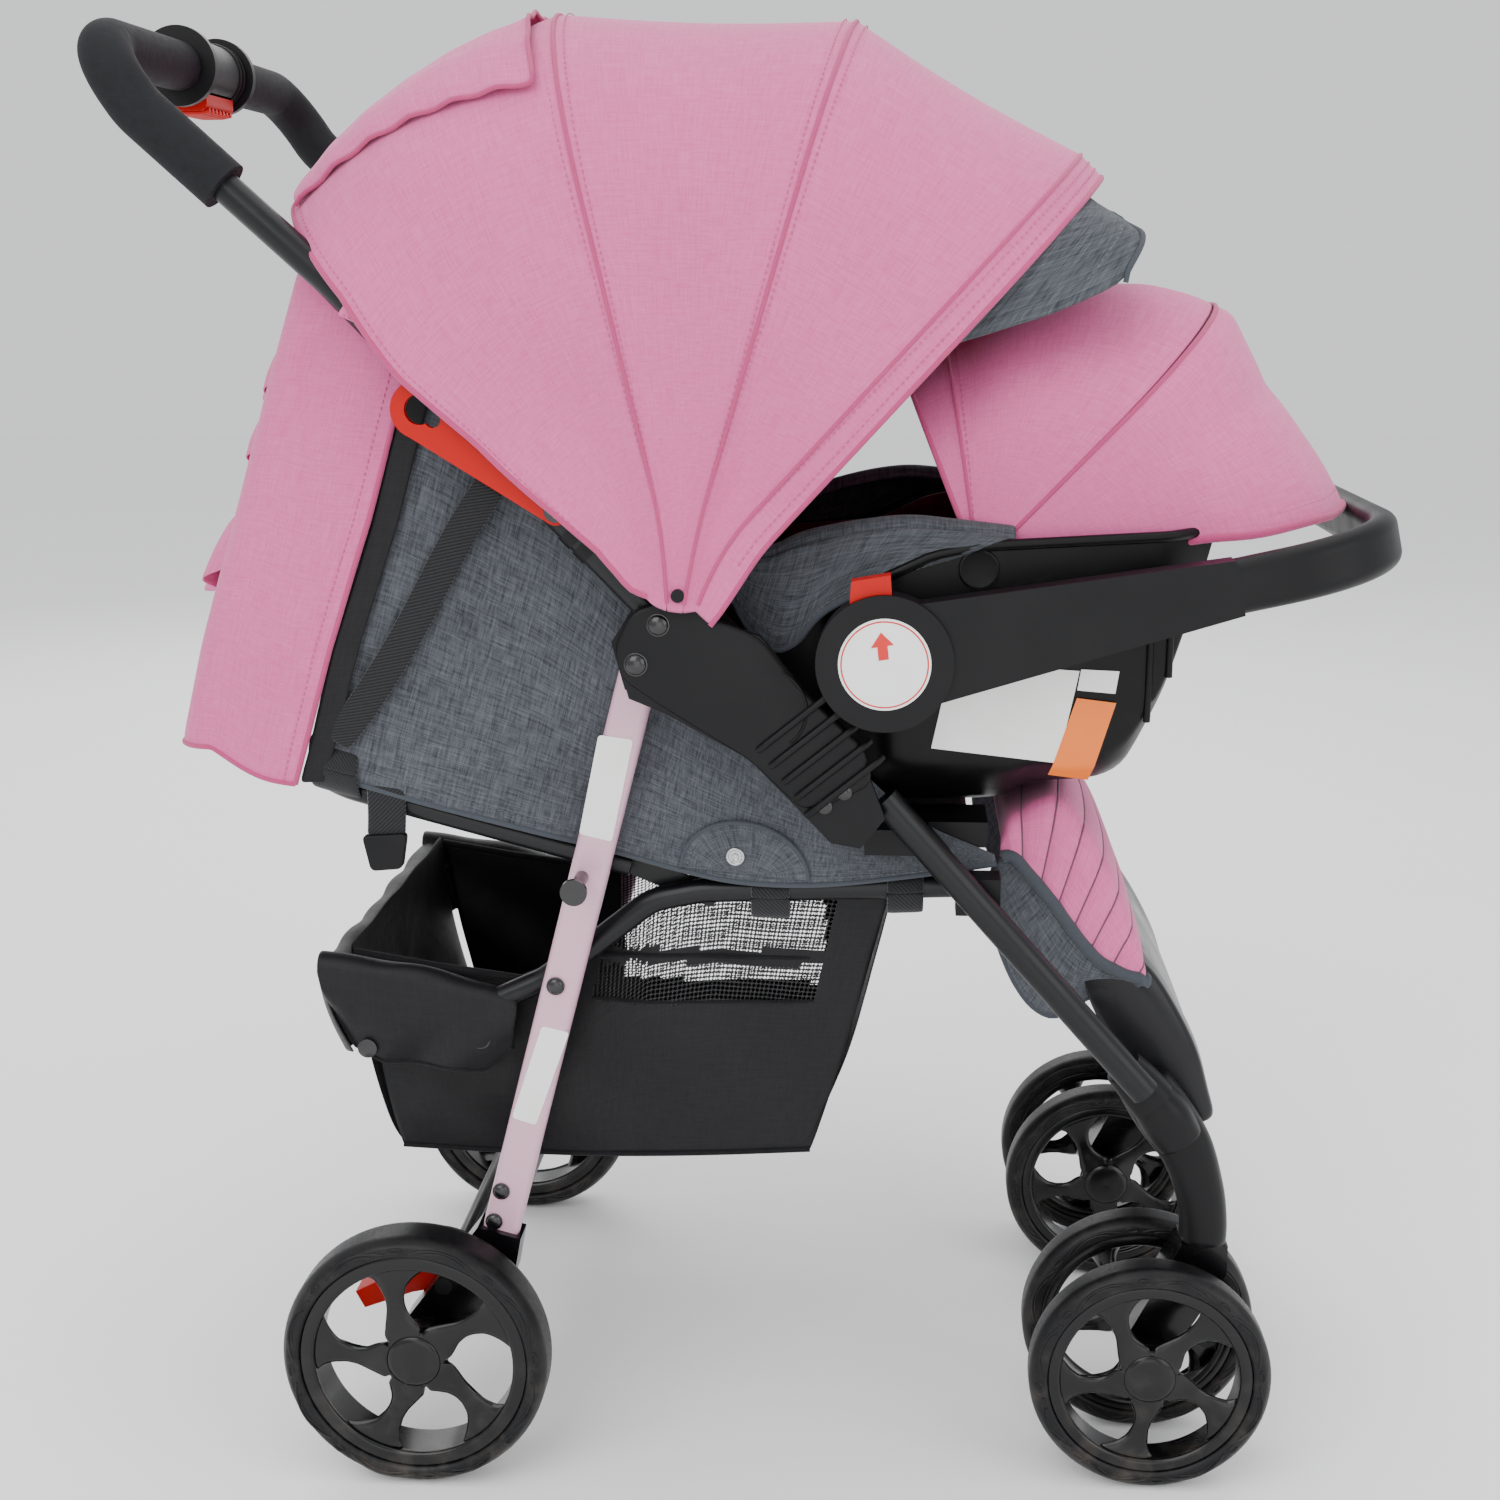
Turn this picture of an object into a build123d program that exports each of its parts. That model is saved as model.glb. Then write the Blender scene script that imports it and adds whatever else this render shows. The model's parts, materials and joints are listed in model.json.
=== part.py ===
from build123d import *
import math
import os

os.makedirs("parts", exist_ok=True)

# Baby stroller with a clip-on infant carrier. Millimetres, +X forward, +Z up, floor at Z = 0.
# The near (right) side is -Y. Everything is symmetric about the XZ plane.

# ---- driving dimensions -------------------------------------------------------------------
tube_r = 9.5                        # handle and front leg tubes
tube_wall = 1.5
side_y = 188.0                      # centre plane of the handle and front leg tubes
handle_pivot = (-65.0, 582.0)
handle_bend = (-262.0, 786.2)
handle_top = (-372.0, 886.0)
handle_bar = (-397.0, 924.0)        # crossbar centre
foam_r = 16.0
rear_leg_pivot = (-79.0, 557.6)
canopy_hub = (-52.0, 601.0)
cheek_outer = (199.0, 205.0)        # housing cheeks, low and high |Y|
cheek_inner = (175.5, 178.0)
pin_r = 4.0
gap = 0.05                          # radial running clearance

rear_axle = (-234.7, 88.9)
rear_wheel_y = 204.2
front_axle = (250.5, 79.1)
caster_y = 145.8
caster_x = 287.0
twin_offset = 36.7
axle_r = 5.0
rear_size = {"radius": 88.9, "width": 36.0, "rim": 75.0, "hub": 18.0}
front_size = {"radius": 79.1, "width": 27.0, "rim": 65.5, "hub": 17.0}
spokes = 5

leg_width = 25.0
leg_y = (160.5, 173.5)
leg_foot = (-188.2, 141.9)
stud_place = (-121.0, 412.0)
stud_reach = 204.6

seat_tube_r = 8.0
seat_y = 149.0
seat_panel_y = (158.3, 159.9)
recline_pivot = (-43.0, 391.0)

latch_pivot = (-126.2, 650.5)
latch_tip = (-206.9, 710.4)
latch_y = (198.6, 203.6)

canopy_r = 351.0
canopy_half = 211.5
canopy_corner = 110.0
canopy_cloth = 2.0
canopy_inner = 22.0                 # cloth and bows start this far from the hub
bow_angles = {"rear": 103.0, "mid": 73.0, "front": 47.0}
bow_half = {"rear": 209.2, "mid": 206.3, "front": 203.4}
bow_r = 344.5
bow_thick = 2.6
bow_span = 1.4

carrier_hub = (72.0, 563.5)
carrier_hub_r = 41.0
arm_y = (211.0, 229.0)
hood_pivot = (128.0, 614.0)
shell_wall = 4.0

basket_half = 136.0
basket_wall = 2.5


# the numbers in this file start about 19 mm behind the stroller's middle; save() moves every
# piece forward by this, so that the origin lies under the middle of the whole stroller
origin_shift = 19.387


# ---- helpers ------------------------------------------------------------------------------
def save(name, piece):
    """Move a finished piece to the stroller's origin, label it and write its STEP file."""
    piece = piece.moved(Location((origin_shift, 0, 0)))
    piece.label = name
    export_step(piece, f"parts/{name}.step")


def side_plane(y):
    """Plane at a given Y whose local x and y are the model's X and Z; it faces -Y."""
    return Plane.XZ.offset(-y)


def plate(outline, y_low, y_high):
    """Flat piece with an XZ outline that fills y_low to y_high."""
    with BuildPart() as piece:
        with BuildSketch(side_plane(y_high)):
            with BuildLine():
                Polyline(*outline, close=True)
            make_face()
        extrude(amount=y_high - y_low)
    return piece.part


def disc(centre, radius, y_low, y_high, bore=0.0):
    """Round piece about a Y axis, with or without a bore."""
    with BuildPart() as piece:
        with BuildSketch(side_plane(y_high)):
            with Locations(centre):
                Circle(radius)
                if bore:
                    Circle(bore, mode=Mode.SUBTRACT)
        extrude(amount=y_high - y_low)
    return piece.part


def swept_tube(points, radii, outer, wall=tube_wall):
    """Round tube along straight runs joined by tangent arcs."""
    with BuildPart() as piece:
        with BuildLine():
            route = FilletPolyline(*points, radius=radii)
        with BuildSketch(Plane(origin=route @ 0, z_dir=route % 0)):
            Circle(outer)
            if wall:
                Circle(outer - wall, mode=Mode.SUBTRACT)
        sweep()
    return piece.part


def straight_tube(start, end, outer, wall=tube_wall):
    """Round tube between two points."""
    with BuildPart() as piece:
        run = Vector(*end) - Vector(*start)
        with BuildSketch(Plane(origin=start, z_dir=run)):
            Circle(outer)
            if wall:
                Circle(outer - wall, mode=Mode.SUBTRACT)
        extrude(amount=run.length)
    return piece.part


def along(start, end, distance, side=0.0):
    """XZ point at a distance from start towards end, shifted to the left of that way."""
    length = math.dist(start, end)
    ux = (end[0] - start[0]) / length
    uz = (end[1] - start[1]) / length
    return (start[0] + ux * distance - uz * side, start[1] + uz * distance + ux * side)


def strip(start, end, low, high):
    """XZ outline of a straight strip, from low to high to the left of the way."""
    length = math.dist(start, end)
    return [along(start, end, 0, low), along(start, end, length, low),
            along(start, end, length, high), along(start, end, 0, high)]


def polar(centre, radius, degrees):
    """XZ point at a radius and an angle from a centre."""
    angle = math.radians(degrees)
    return (centre[0] + radius * math.cos(angle), centre[1] + radius * math.sin(angle))


def inset(points, depth):
    """Open XZ line moved to the left of its way by a depth."""
    moved = [along(points[0], points[1], 0, depth)]
    for before, here, after in zip(points, points[1:], points[2:]):
        moved.append(mitre(before, here, after, depth))
    moved.append(along(points[-2], points[-1], math.dist(points[-2], points[-1]), depth))
    return moved


def mitre(before, here, after, depth):
    """Corner of a line moved to the left by a depth."""
    turn_in = math.atan2(here[1] - before[1], here[0] - before[0])
    turn_out = math.atan2(after[1] - here[1], after[0] - here[0])
    middle = (turn_in + turn_out) / 2
    reach = depth / math.cos((turn_out - turn_in) / 2)
    return (here[0] - reach * math.sin(middle), here[1] + reach * math.cos(middle))


def mirrored(piece):
    """The same piece on the other side."""
    return mirror(piece, about=Plane.XZ)


def group(*pieces):
    """Separate solids as one piece."""
    return Compound(children=[solid for piece in pieces for solid in piece.solids()])


def pair(piece):
    """A piece and its mirror image as one group."""
    return group(piece, mirrored(piece))


def hoop_plane(hub, degrees):
    """Plane through a hub's Y axis; local x is Y and local y points out at the angle."""
    angle = math.radians(degrees)
    return Plane(origin=(hub[0], 0, hub[1]), x_dir=(0, 1, 0),
                 z_dir=(math.sin(angle), 0, -math.cos(angle)))


def hoop_face(hub, degrees, half, height, corner, start):
    """Closed arch outline on a hoop plane: two sides, a rounded top and a flat foot."""
    with BuildSketch(hoop_plane(hub, degrees)) as arch:
        with BuildLine():
            FilletPolyline((half, start), (half, height), (-half, height), (-half, start),
                           radius=corner)
            Line((-half, start), (half, start))
        make_face()
    return arch.sketch


def hoop_panel(hub, first, last, thick, start):
    """Cloth stretched between two arches, each (degrees, half width, height, corner)."""
    with BuildPart() as panel:
        for angle, half, height, corner in (first, last):
            add(hoop_face(hub, angle, half, height, corner, start))
        loft()
        for angle, half, height, corner in (first, last):
            add(hoop_face(hub, angle, half - thick, height - thick, corner - thick, start))
        loft(mode=Mode.SUBTRACT)
    return panel.part


def hoop_strip(hub, degrees, half, height, corner, thick, start, span):
    """Flat bow: a narrow band of the arch turned about the hub."""
    with BuildPart() as bow:
        with BuildSketch(hoop_plane(hub, degrees - span / 2)):
            with BuildLine():
                FilletPolyline((half, start), (half, height), (-half, height), (-half, start),
                               radius=corner)
                Line((-half, start), (half, start))
            make_face()
            with BuildLine():
                low = half - thick
                FilletPolyline((low, start), (low, height - thick), (-low, height - thick),
                               (-low, start), radius=corner - thick)
                Line((-low, start), (low, start))
            make_face(mode=Mode.SUBTRACT)
        revolve(axis=Axis((hub[0], 0, hub[1]), (0, -1, 0)), revolution_arc=span)
    return bow.part


def tyre(size):
    """Tyre about the Y axis at the origin."""
    middle = (size["radius"] + size["rim"]) / 2
    with BuildPart() as piece:
        with BuildSketch(Plane.YZ):
            with Locations((0, middle)):
                RectangleRounded(size["width"], size["radius"] - size["rim"], 6)
        revolve(axis=Axis.Y)
    return piece.part


def rim(size):
    """Rim with five spokes, a closed outer cap and an axle bore; its outer face is at -Y."""
    barrel = 9.0
    spoke_w = 20.0
    half = size["width"] / 2 - 3
    reach = (size["rim"] + size["hub"] - barrel) / 2
    with BuildPart() as piece:
        with BuildSketch(side_plane(half)):
            Circle(size["rim"])
            Circle(size["rim"] - barrel, mode=Mode.SUBTRACT)
            Circle(size["hub"])
        extrude(amount=2 * half)
        with BuildSketch(side_plane(-half + 12)):
            with PolarLocations(reach, spokes, start_angle=90):
                Rectangle(size["rim"] - barrel - size["hub"] + 6, spoke_w)
        extrude(amount=9)
        with BuildSketch(side_plane(half)):
            Circle(axle_r + gap)
        extrude(amount=2 * half - 4, mode=Mode.SUBTRACT)
    return piece.part


def placed(piece, x, y, z):
    """Copy of a piece moved to a place."""
    return piece.moved(Location((x, y, z)))


# ---- front frame --------------------------------------------------------------------------
def front_leg():
    """Front leg tube of the near side, from the housing to the caster socket."""
    return straight_tube((72, -side_y, 470.8), (240, -side_y, 279.5), tube_r)


def junction_housing():
    """Two cheeks joined by a web ahead of the folding tube, with the leg's ribbed sleeve."""
    outer = [(-91.8, 566.2), (-84, 536), (-62, 527), (-9.9, 498.4), (40, 446), (58, 443),
             (73, 462), (64, 486), (21, 545), (-3.4, 575), (-36, 586), (-58, 587.5), (-70, 593),
             (-80, 590)]
    web = [(-40, 560), (-44, 535), (-12, 504), (40, 452), (56, 452), (62, 470), (20, 534), (-12, 566)]
    inner = [(-98, 566), (-90, 536), (-44, 533), (-12, 502), (-3, 560), (-38, 596), (-75, 602)]
    with BuildPart() as piece:
        add(plate(outer, -cheek_outer[1], -cheek_outer[0]))
        add(plate(web, -cheek_outer[0], -cheek_inner[1]))
        add(plate(inner, -cheek_inner[1], -cheek_inner[0]))
        add(disc(handle_pivot, pin_r, -cheek_outer[0], -cheek_inner[1]))
        add(disc(canopy_hub, 8.4, -cheek_outer[0] - 1, -cheek_inner[0]))
        add(disc(canopy_hub, pin_r, -216, -cheek_outer[0]))
        add(disc(rear_leg_pivot, pin_r, -cheek_inner[0], -leg_y[0]))
        socket = straight_tube((40, -side_y, 507.3), (90, -side_y, 450.3), tube_r, 0)
        add(socket, mode=Mode.SUBTRACT)
    return piece.part


def caster_socket():
    """Moulding that carries the front leg's end in to the upright swivel bearing."""
    stem_bore = 6.0 + gap
    with BuildPart() as piece:
        add(straight_tube((231, -side_y, 289.8), (262, -side_y, 254.4), 14, 0))
        add(straight_tube((262, -side_y, 254.4), (284, -158, 222), 13.5, 0))
        with Locations((262, -side_y, 254.4)):
            Sphere(14)
        with BuildSketch(Plane.XY.offset(162)):
            with Locations((caster_x, -caster_y)):
                Circle(16)
        extrude(amount=74)
        add(straight_tube((220, -side_y, 302.3), (240.8, -side_y, 278.6), tube_r, 0), mode=Mode.SUBTRACT)
        with BuildSketch(Plane.XY.offset(162)):
            with Locations((caster_x, -caster_y)):
                Circle(stem_bore)
        extrude(amount=50, mode=Mode.SUBTRACT)
    return piece.part


def footrest():
    """Curved moulding across the front, between the two caster mouldings."""
    face = [(193, 346), (232, 346), (262, 316), (292, 268), (300, 236), (296, 236),
            (284, 262), (256, 306), (228, 338), (193, 340)]
    return plate(face, -142, 142)


def footrest_bar():
    """Round bar under the footrest from one caster moulding to the other."""
    return straight_tube((262, -173.5, 254.4), (262, 173.5, 254.4), 8)


def seat_frame():
    """Tube along one side, round the back under the seat and along the other."""
    side = [(131, 404), (-46, 397), (-79, 390), (-119, 358), (-153, 333), (-190, 316)]
    near = [(x, -seat_y, z) for x, z in side] + [(-297, -seat_y, 330)]
    far = [(x, -y, z) for x, y, z in reversed(near)]
    bends = [60, 40, 40, 40, 40, 22, 22, 40, 40, 40, 40, 60]
    return swept_tube(near + far, bends, seat_tube_r)


def seat_brackets():
    """Blocks that bolt the seat frame's front ends to the two front legs."""
    with BuildPart() as piece:
        add(plate([(118, 392), (146, 392), (146, 416), (118, 416)], -178.4, -157.2))
    return pair(piece.part)


def seat_cushion():
    """Cushion between the side panels."""
    return plate([(-40, 413), (144, 413), (144, 424), (136, 430), (-40, 430)], -157, 157)


def seat_side_panels():
    """Cloth sides of the seat."""
    outline = [(-300, 484), (-111, 434), (-60, 424), (144, 424), (141, 428), (54, 428),
               (54, 450), (124, 450), (30, 530), (-70, 610), (-150, 690), (-226, 736), (-262, 640)]
    return pair(plate(outline, -seat_panel_y[1], -seat_panel_y[0]))


def head_curtain():
    """Cloth round the head end: two side flaps and a back."""
    flap = [(-292, 790), (-385, 496), (-347, 475), (-307, 469), (-280, 557), (-250, 640),
            (-226, 724), (-240, 790)]
    back = [(-292, 790), (-385, 496), (-381, 494), (-288, 789)]
    with BuildPart() as piece:
        for low in (-169, 166):
            add(plate(flap, low, low + 3))
        add(plate(back, -167, 167))
    return piece.part


def basket():
    """Open cloth tub hung inside the seat frame."""
    side = [(-283, 342), (-256, 205), (21.4, 212.8), (48, 281), (68, 355), (76, 376)]
    inner = inset(side, basket_wall)
    with BuildPart() as piece:
        add(plate(side + [(-120, 370)], -basket_half, basket_half))
        hollow = inner + [(90, 450), (-290, 450)]
        add(plate(hollow, basket_wall - basket_half, basket_half - basket_wall), mode=Mode.SUBTRACT)
    return piece.part


def carrier_cradles():
    """Shelves on the front legs' inner side that the carrier stands on."""
    shelf = [(70, 431), (138, 431), (138, 447.6), (70, 447.6)]
    wall = [(60, 431), (114, 431), (100, 447.6), (60, 447.6)]
    with BuildPart() as piece:
        add(plate(shelf, -157, -112))
        add(plate(wall, -178.4, -157))
    return pair(piece.part)


def frame_rivets():
    """Domed rivet heads on the housings, identical, one group."""
    with BuildPart() as piece:
        for place in (handle_pivot, rear_leg_pivot):
            add(disc(place, 6, -cheek_outer[1] - 2, -cheek_outer[1]))
    return pair(piece.part)


# ---- handle -------------------------------------------------------------------------------
def handle_tube():
    """One tube from pivot to pivot round the crossbar."""
    start = along(handle_bend, handle_pivot, math.dist(handle_bend, handle_pivot) + 10)
    side = [start, handle_bend, handle_top, handle_bar]
    near = [(x, -side_y, z) for x, z in side]
    far = [(x, -y, z) for x, y, z in reversed(near)]
    whole = swept_tube(near + far, [90, 55, 34, 34, 55, 90], tube_r)
    with BuildPart() as piece:
        add(whole)
        with BuildSketch(side_plane(side_y + 20)):
            with Locations(handle_pivot):
                Circle(pin_r + gap)
        extrude(amount=2 * side_y + 40, mode=Mode.SUBTRACT)
    return piece.part


def foam_grip():
    """Foam sleeve of the near half of the handle."""
    start = along(handle_top, handle_bend, 68)
    points = [start, handle_top, handle_bar]
    route = [(x, -side_y, z) for x, z in points] + [(handle_bar[0], -43, handle_bar[1])]
    with BuildPart() as piece:
        with BuildLine():
            line = FilletPolyline(*route, radius=[55, 34])
        with BuildSketch(Plane(origin=line @ 0, z_dir=line % 0)):
            Circle(foam_r)
            Circle(tube_r, mode=Mode.SUBTRACT)
        sweep()
    return piece.part


def handle_grip_hub():
    """Sleeve with two ring flanges at the middle of the crossbar; its belly holds the trigger."""
    belly_low = (handle_bar[0], handle_bar[1])
    with BuildPart() as piece:
        add(disc(belly_low, 20, -36, 36))
        for low in (-42, 36):
            add(disc(belly_low, 25.5, low, low + 6))
        add(disc(belly_low, tube_r, -43, 43), mode=Mode.SUBTRACT)
        with BuildSketch(Plane.XY.offset(handle_bar[1] - 21)):
            with Locations((handle_bar[0], 0)):
                Rectangle(26.4, 54.4)
        extrude(amount=8, mode=Mode.SUBTRACT)
    return piece.part


def fold_trigger():
    """Finger bar under the middle of the handle."""
    with BuildPart() as piece:
        with BuildSketch(Plane.XY.offset(handle_bar[1] - 27)):
            with Locations((handle_bar[0], 0)):
                Rectangle(26, 54)
        extrude(amount=10.5)
        fillet(piece.edges().filter_by(Axis.Y).group_by(Axis.Z)[0], 5)
    return piece.part


def tube_clips():
    """Plastic clips on the handle tubes below the storage latch."""
    with BuildPart() as piece:
        for distance in (58, 70):
            a = along(handle_pivot, handle_bend, distance)
            b = along(handle_pivot, handle_bend, distance + 9)
            add(straight_tube((a[0], -side_y, a[1]), (b[0], -side_y, b[1]), tube_r + 1, 1))
    return group(piece.part, mirrored(piece.part))


def latch_rivet():
    """Rivet that holds the storage latch to the near handle tube."""
    with BuildPart() as piece:
        add(disc(latch_pivot, 3.5, -latch_y[1] - 0.2, 0.8 - side_y - tube_r))
        add(disc(latch_pivot, 7, -latch_y[1] - 2.2, -latch_y[1] - 0.2))
    return piece.part


def storage_latch():
    """Tapered lever with a keyhole in its big end."""
    big = 17.5
    small = 9.0
    reach = math.dist(latch_pivot, latch_tip)
    lean = math.asin((big - small) / reach)
    way = math.degrees(math.atan2(latch_tip[1] - latch_pivot[1], latch_tip[0] - latch_pivot[0]))
    turn = 90 - math.degrees(lean)
    with BuildPart() as piece:
        with BuildSketch(side_plane(-latch_y[0])):
            with Locations(latch_pivot):
                Circle(small)
            with Locations(latch_tip):
                Circle(big)
            with BuildLine():
                Polyline(polar(latch_pivot, small, way + turn), polar(latch_tip, big, way + turn),
                         polar(latch_tip, big, way - turn), polar(latch_pivot, small, way - turn),
                         close=True)
            make_face()
            with Locations(latch_pivot):
                Circle(3.5 + gap, mode=Mode.SUBTRACT)
            with Locations(latch_tip):
                Circle(9.0, mode=Mode.SUBTRACT)
            with Locations(along(latch_tip, latch_pivot, 10)):
                Circle(4.8, mode=Mode.SUBTRACT)
        extrude(amount=latch_y[1] - latch_y[0])
    return piece.part


# ---- rear legs ----------------------------------------------------------------------------
def rear_leg():
    """Flat-oval leg with a bore for its pivot at the top."""
    foot = along(leg_foot, rear_leg_pivot, 4)
    with BuildPart() as piece:
        add(plate(strip(foot, rear_leg_pivot, -leg_width / 2, leg_width / 2), -leg_y[1], -leg_y[0]))
        add(disc(rear_leg_pivot, leg_width / 2, -leg_y[1], -leg_y[0]))
        fillet(piece.edges().filter_by(GeomType.LINE).filter_by(lambda e: e.length > 100), 5)
        add(disc(rear_leg_pivot, pin_r + gap, -leg_y[1], -leg_y[0]), mode=Mode.SUBTRACT)
    return piece.part


def axle_bracket():
    """Moulding from the leg's foot back to the wheel axle, with the axle stub."""
    shape = [along(leg_foot, rear_leg_pivot, 22, 15), along(leg_foot, rear_leg_pivot, 22, -15),
             along(leg_foot, rear_leg_pivot, -6, -17), (-222, 74), (-246, 74), (-250, 96)]
    with BuildPart() as piece:
        add(plate(shape, -178.5, -156))
        cut = strip(along(leg_foot, rear_leg_pivot, 4), rear_leg_pivot, -leg_width / 2, leg_width / 2)
        add(plate(cut, -leg_y[1], -leg_y[0]), mode=Mode.SUBTRACT)
        add(disc(rear_axle, axle_r, -214.5, -178.5))
        add(disc(rear_axle, 11, -185.5, -178.5))
        add(disc((-222, 123), 6.05, -179, -155), mode=Mode.SUBTRACT)
    return piece.part


def rear_crossbar():
    """Tube between the two axle mouldings."""
    return straight_tube((-196, -156, 128), (-196, 156, 128), 7)


def leg_stud():
    """Headed stud that the storage latch hooks over."""
    with BuildPart() as piece:
        add(disc(stud_place, 4.4, -stud_reach, -leg_y[1]))
        add(disc(stud_place, 8.5, -stud_reach - 3.4, -stud_reach))
    return piece.part


def leg_rivets():
    """Small rivet heads down the rear legs, identical, one group."""
    with BuildPart() as piece:
        for place in ((-140, 338), (-180.9, 192.1), (-186.5, 170)):
            add(disc(place, 4.5, -leg_y[1] - 1.5, -leg_y[1]))
    return pair(piece.part)


def brake_bar():
    """Round bar from one rear wheel to the other."""
    return straight_tube((-222, -179, 123), (-222, 179, 123), 6, 0)


def brake_pedals():
    """Foot pedals at both ends of the brake bar, with their lock teeth."""
    shape = [(-212, 131), (-212, 113), (-250, 105), (-284, 92), (-290, 104), (-256, 122), (-232, 131)]
    with BuildPart() as piece:
        add(plate(shape, -154.5, -134))
        add(disc((-222, 123), 6, -154.5, -134), mode=Mode.SUBTRACT)
    return pair(piece.part)


# ---- casters ------------------------------------------------------------------------------
def caster_fork(side):
    """Swivel body between the twin wheels, with its stem and axle; side is -1 or 1."""
    y = side * caster_y
    top = [(caster_x - 15, 160.5), (caster_x + 15, 160.5), (caster_x + 15, 140), (262, 68),
           (240, 68), (238, 92)]
    with BuildPart() as piece:
        add(plate(top, y - 15, y + 15))
        with BuildSketch(Plane.XY.offset(160)):
            with Locations((caster_x, y)):
                Circle(6)
        extrude(amount=48)
        add(disc(front_axle, 10, y - 22.8, y + 22.8))
        add(disc(front_axle, axle_r, y - 42.5, y + 42.5))
    return piece.part


# ---- canopy -------------------------------------------------------------------------------
def arch(name):
    """Cloth arch over a bow: degrees, half width, height and corner."""
    return (bow_angles[name], canopy_half, canopy_r, canopy_corner)


def canopy_rear():
    """Rear part of the canopy down to its hem."""
    back = (131.0, canopy_half, 334.0, 90.0)
    hem = [(-104, 624), (-118, 640), (-171, 690), (-218, 726), (-250, 772), (-262, 818),
           polar(canopy_hub, 320, 128), polar(canopy_hub, 60, 128)]
    with BuildPart() as piece:
        add(hoop_panel(canopy_hub, arch("rear"), back, canopy_cloth, canopy_inner))
        for side in (-1, 1):
            low = min(side * canopy_half, side * (canopy_half - canopy_cloth))
            add(plate(hem, low, low + canopy_cloth))
    return piece.part


def canopy_bow(name):
    """Bow strip with a round eye on each hub pin."""
    half = bow_half[name]
    with BuildPart() as piece:
        add(hoop_strip(canopy_hub, bow_angles[name], half, bow_r, canopy_corner - 6, bow_thick, 12,
                       bow_span))
        for side in (-1, 1):
            low = min(side * half, side * (half - bow_thick))
            add(disc(canopy_hub, 12.4, low, low + bow_thick))
            arm = strip(polar(canopy_hub, 10, bow_angles[name]), polar(canopy_hub, 220, bow_angles[name]),
                        -4, 4)
            add(plate(arm, low, low + bow_thick))
            add(disc(canopy_hub, pin_r + gap, low, low + bow_thick), mode=Mode.SUBTRACT)
    return piece.part


def canopy_visor():
    """Short flap ahead of the front bow."""
    rim = (46.0, 199.0, 339.0, 100.0)
    tip = (35.5, 192.0, 336.0, 95.0)
    return hoop_panel(canopy_hub, rim, tip, canopy_cloth, 236)


# ---- seat back and leg rest ----------------------------------------------------------------
def backrest_tube():
    """Bent tube round the seat back with a tab to each recline pivot."""
    side = [(-92, 413.5), (-111, 418.5), (-300, 469)]
    near = [(x, -seat_y, z) for x, z in side]
    far = [(x, -y, z) for x, y, z in reversed(near)]
    with BuildPart() as piece:
        add(swept_tube(near + far, [60, 32, 32, 60], 7.5))
        for sign in (-1, 1):
            low = min(sign * 138.2, sign * 140.6)
            add(plate(strip((-104, 416.5), recline_pivot, -7, 7), low, low + 2.4))
            add(disc(recline_pivot, 7, low, low + 2.4))
            add(disc(recline_pivot, 3 + gap, low, low + 2.4), mode=Mode.SUBTRACT)
            block = [(-112, 411), (-96, 407), (-94, 419), (-110, 424)]
            inner = min(sign * 140.6, sign * 143)
            add(plate(block, inner, inner + 2.4))
    return piece.part


def recline_pins():
    """Pins through the seat frame that the seat back turns on."""
    with BuildPart() as piece:
        add(disc(recline_pivot, 3, -141.4, -137))
        add(disc(recline_pivot, 8, -137, -135.5))
    return pair(piece.part)


def backrest_pad():
    """Padded board of the seat back, lying flat."""
    outline = strip((-72, 410), (-296, 470), -34, -10)
    return plate(outline, -137.5, 137.5)


def leg_rest():
    """Padded flap at the front of the seat, hanging along the front legs."""
    outline = [(151, 424), (160, 440), (184, 440), (214, 408), (240, 352), (226, 350), (152, 414)]
    return plate(outline, -150, 150)


# ---- infant carrier ------------------------------------------------------------------------
shell_bottom = [(-204, 618), (-194, 585), (-150, 532), (-80, 484), (-10, 459), (60, 449), (140, 449),
                (164, 464), (211, 472), (223, 486), (245, 535), (262, 590), (276, 638)]
shell_rim = [(116, 629), (64, 604), (0, 600)]


def carrier_shell():
    """Rocking tub with a wider middle that carries the handle hubs."""
    narrow = 152.0
    wide = 186.0
    flank = [(66, 545), (96, 505), (226, 505), (250, 560), (272, 630), (116, 626), (66, 605)]
    hollow = inset(shell_bottom, shell_wall) + [(240, 760), (-160, 760)]
    flank_hollow = [(70, 549), (98, 510), (222, 510), (246, 560), (266, 660), (70, 660)]
    with BuildPart() as piece:
        add(plate(shell_bottom + shell_rim, -narrow, narrow))
        add(plate(flank, -wide, wide))
        add(plate(hollow, shell_wall - narrow, narrow - shell_wall), mode=Mode.SUBTRACT)
        add(plate(flank_hollow, shell_wall - wide, wide - shell_wall), mode=Mode.SUBTRACT)
        for side in (-1, 1):
            low = min(side * wide, side * 210.5)
            add(disc(carrier_hub, 24, low, low + 24.5))
            low = min(side * 210.5, side * 222)
            add(disc(carrier_hub, 9, low, low + 11.5))
            low = min(side * 150, side * 190)
            add(disc(hood_pivot, 15, low, low + 40))
    return piece.part


def carrier_liner():
    """Padded lining that follows the inside of the tub."""
    outer = inset(shell_bottom, shell_wall + 0.4)
    inner = inset(shell_bottom[1:-1], shell_wall + 14)
    with BuildPart() as piece:
        add(plate(outer + [(116, 624), (64, 599), (0, 595)], -147.4, 147.4))
        add(plate(inner + [(240, 760), (-160, 760)], -135, 135), mode=Mode.SUBTRACT)
    return piece.part


def hood_rear():
    """Part of the hood that is fixed over the head end."""
    first = (12.0, 172.0, 212.0, 95.0)
    last = (46.0, 172.0, 205.0, 95.0)
    return hoop_panel(hood_pivot, first, last, canopy_cloth, 34)


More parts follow.
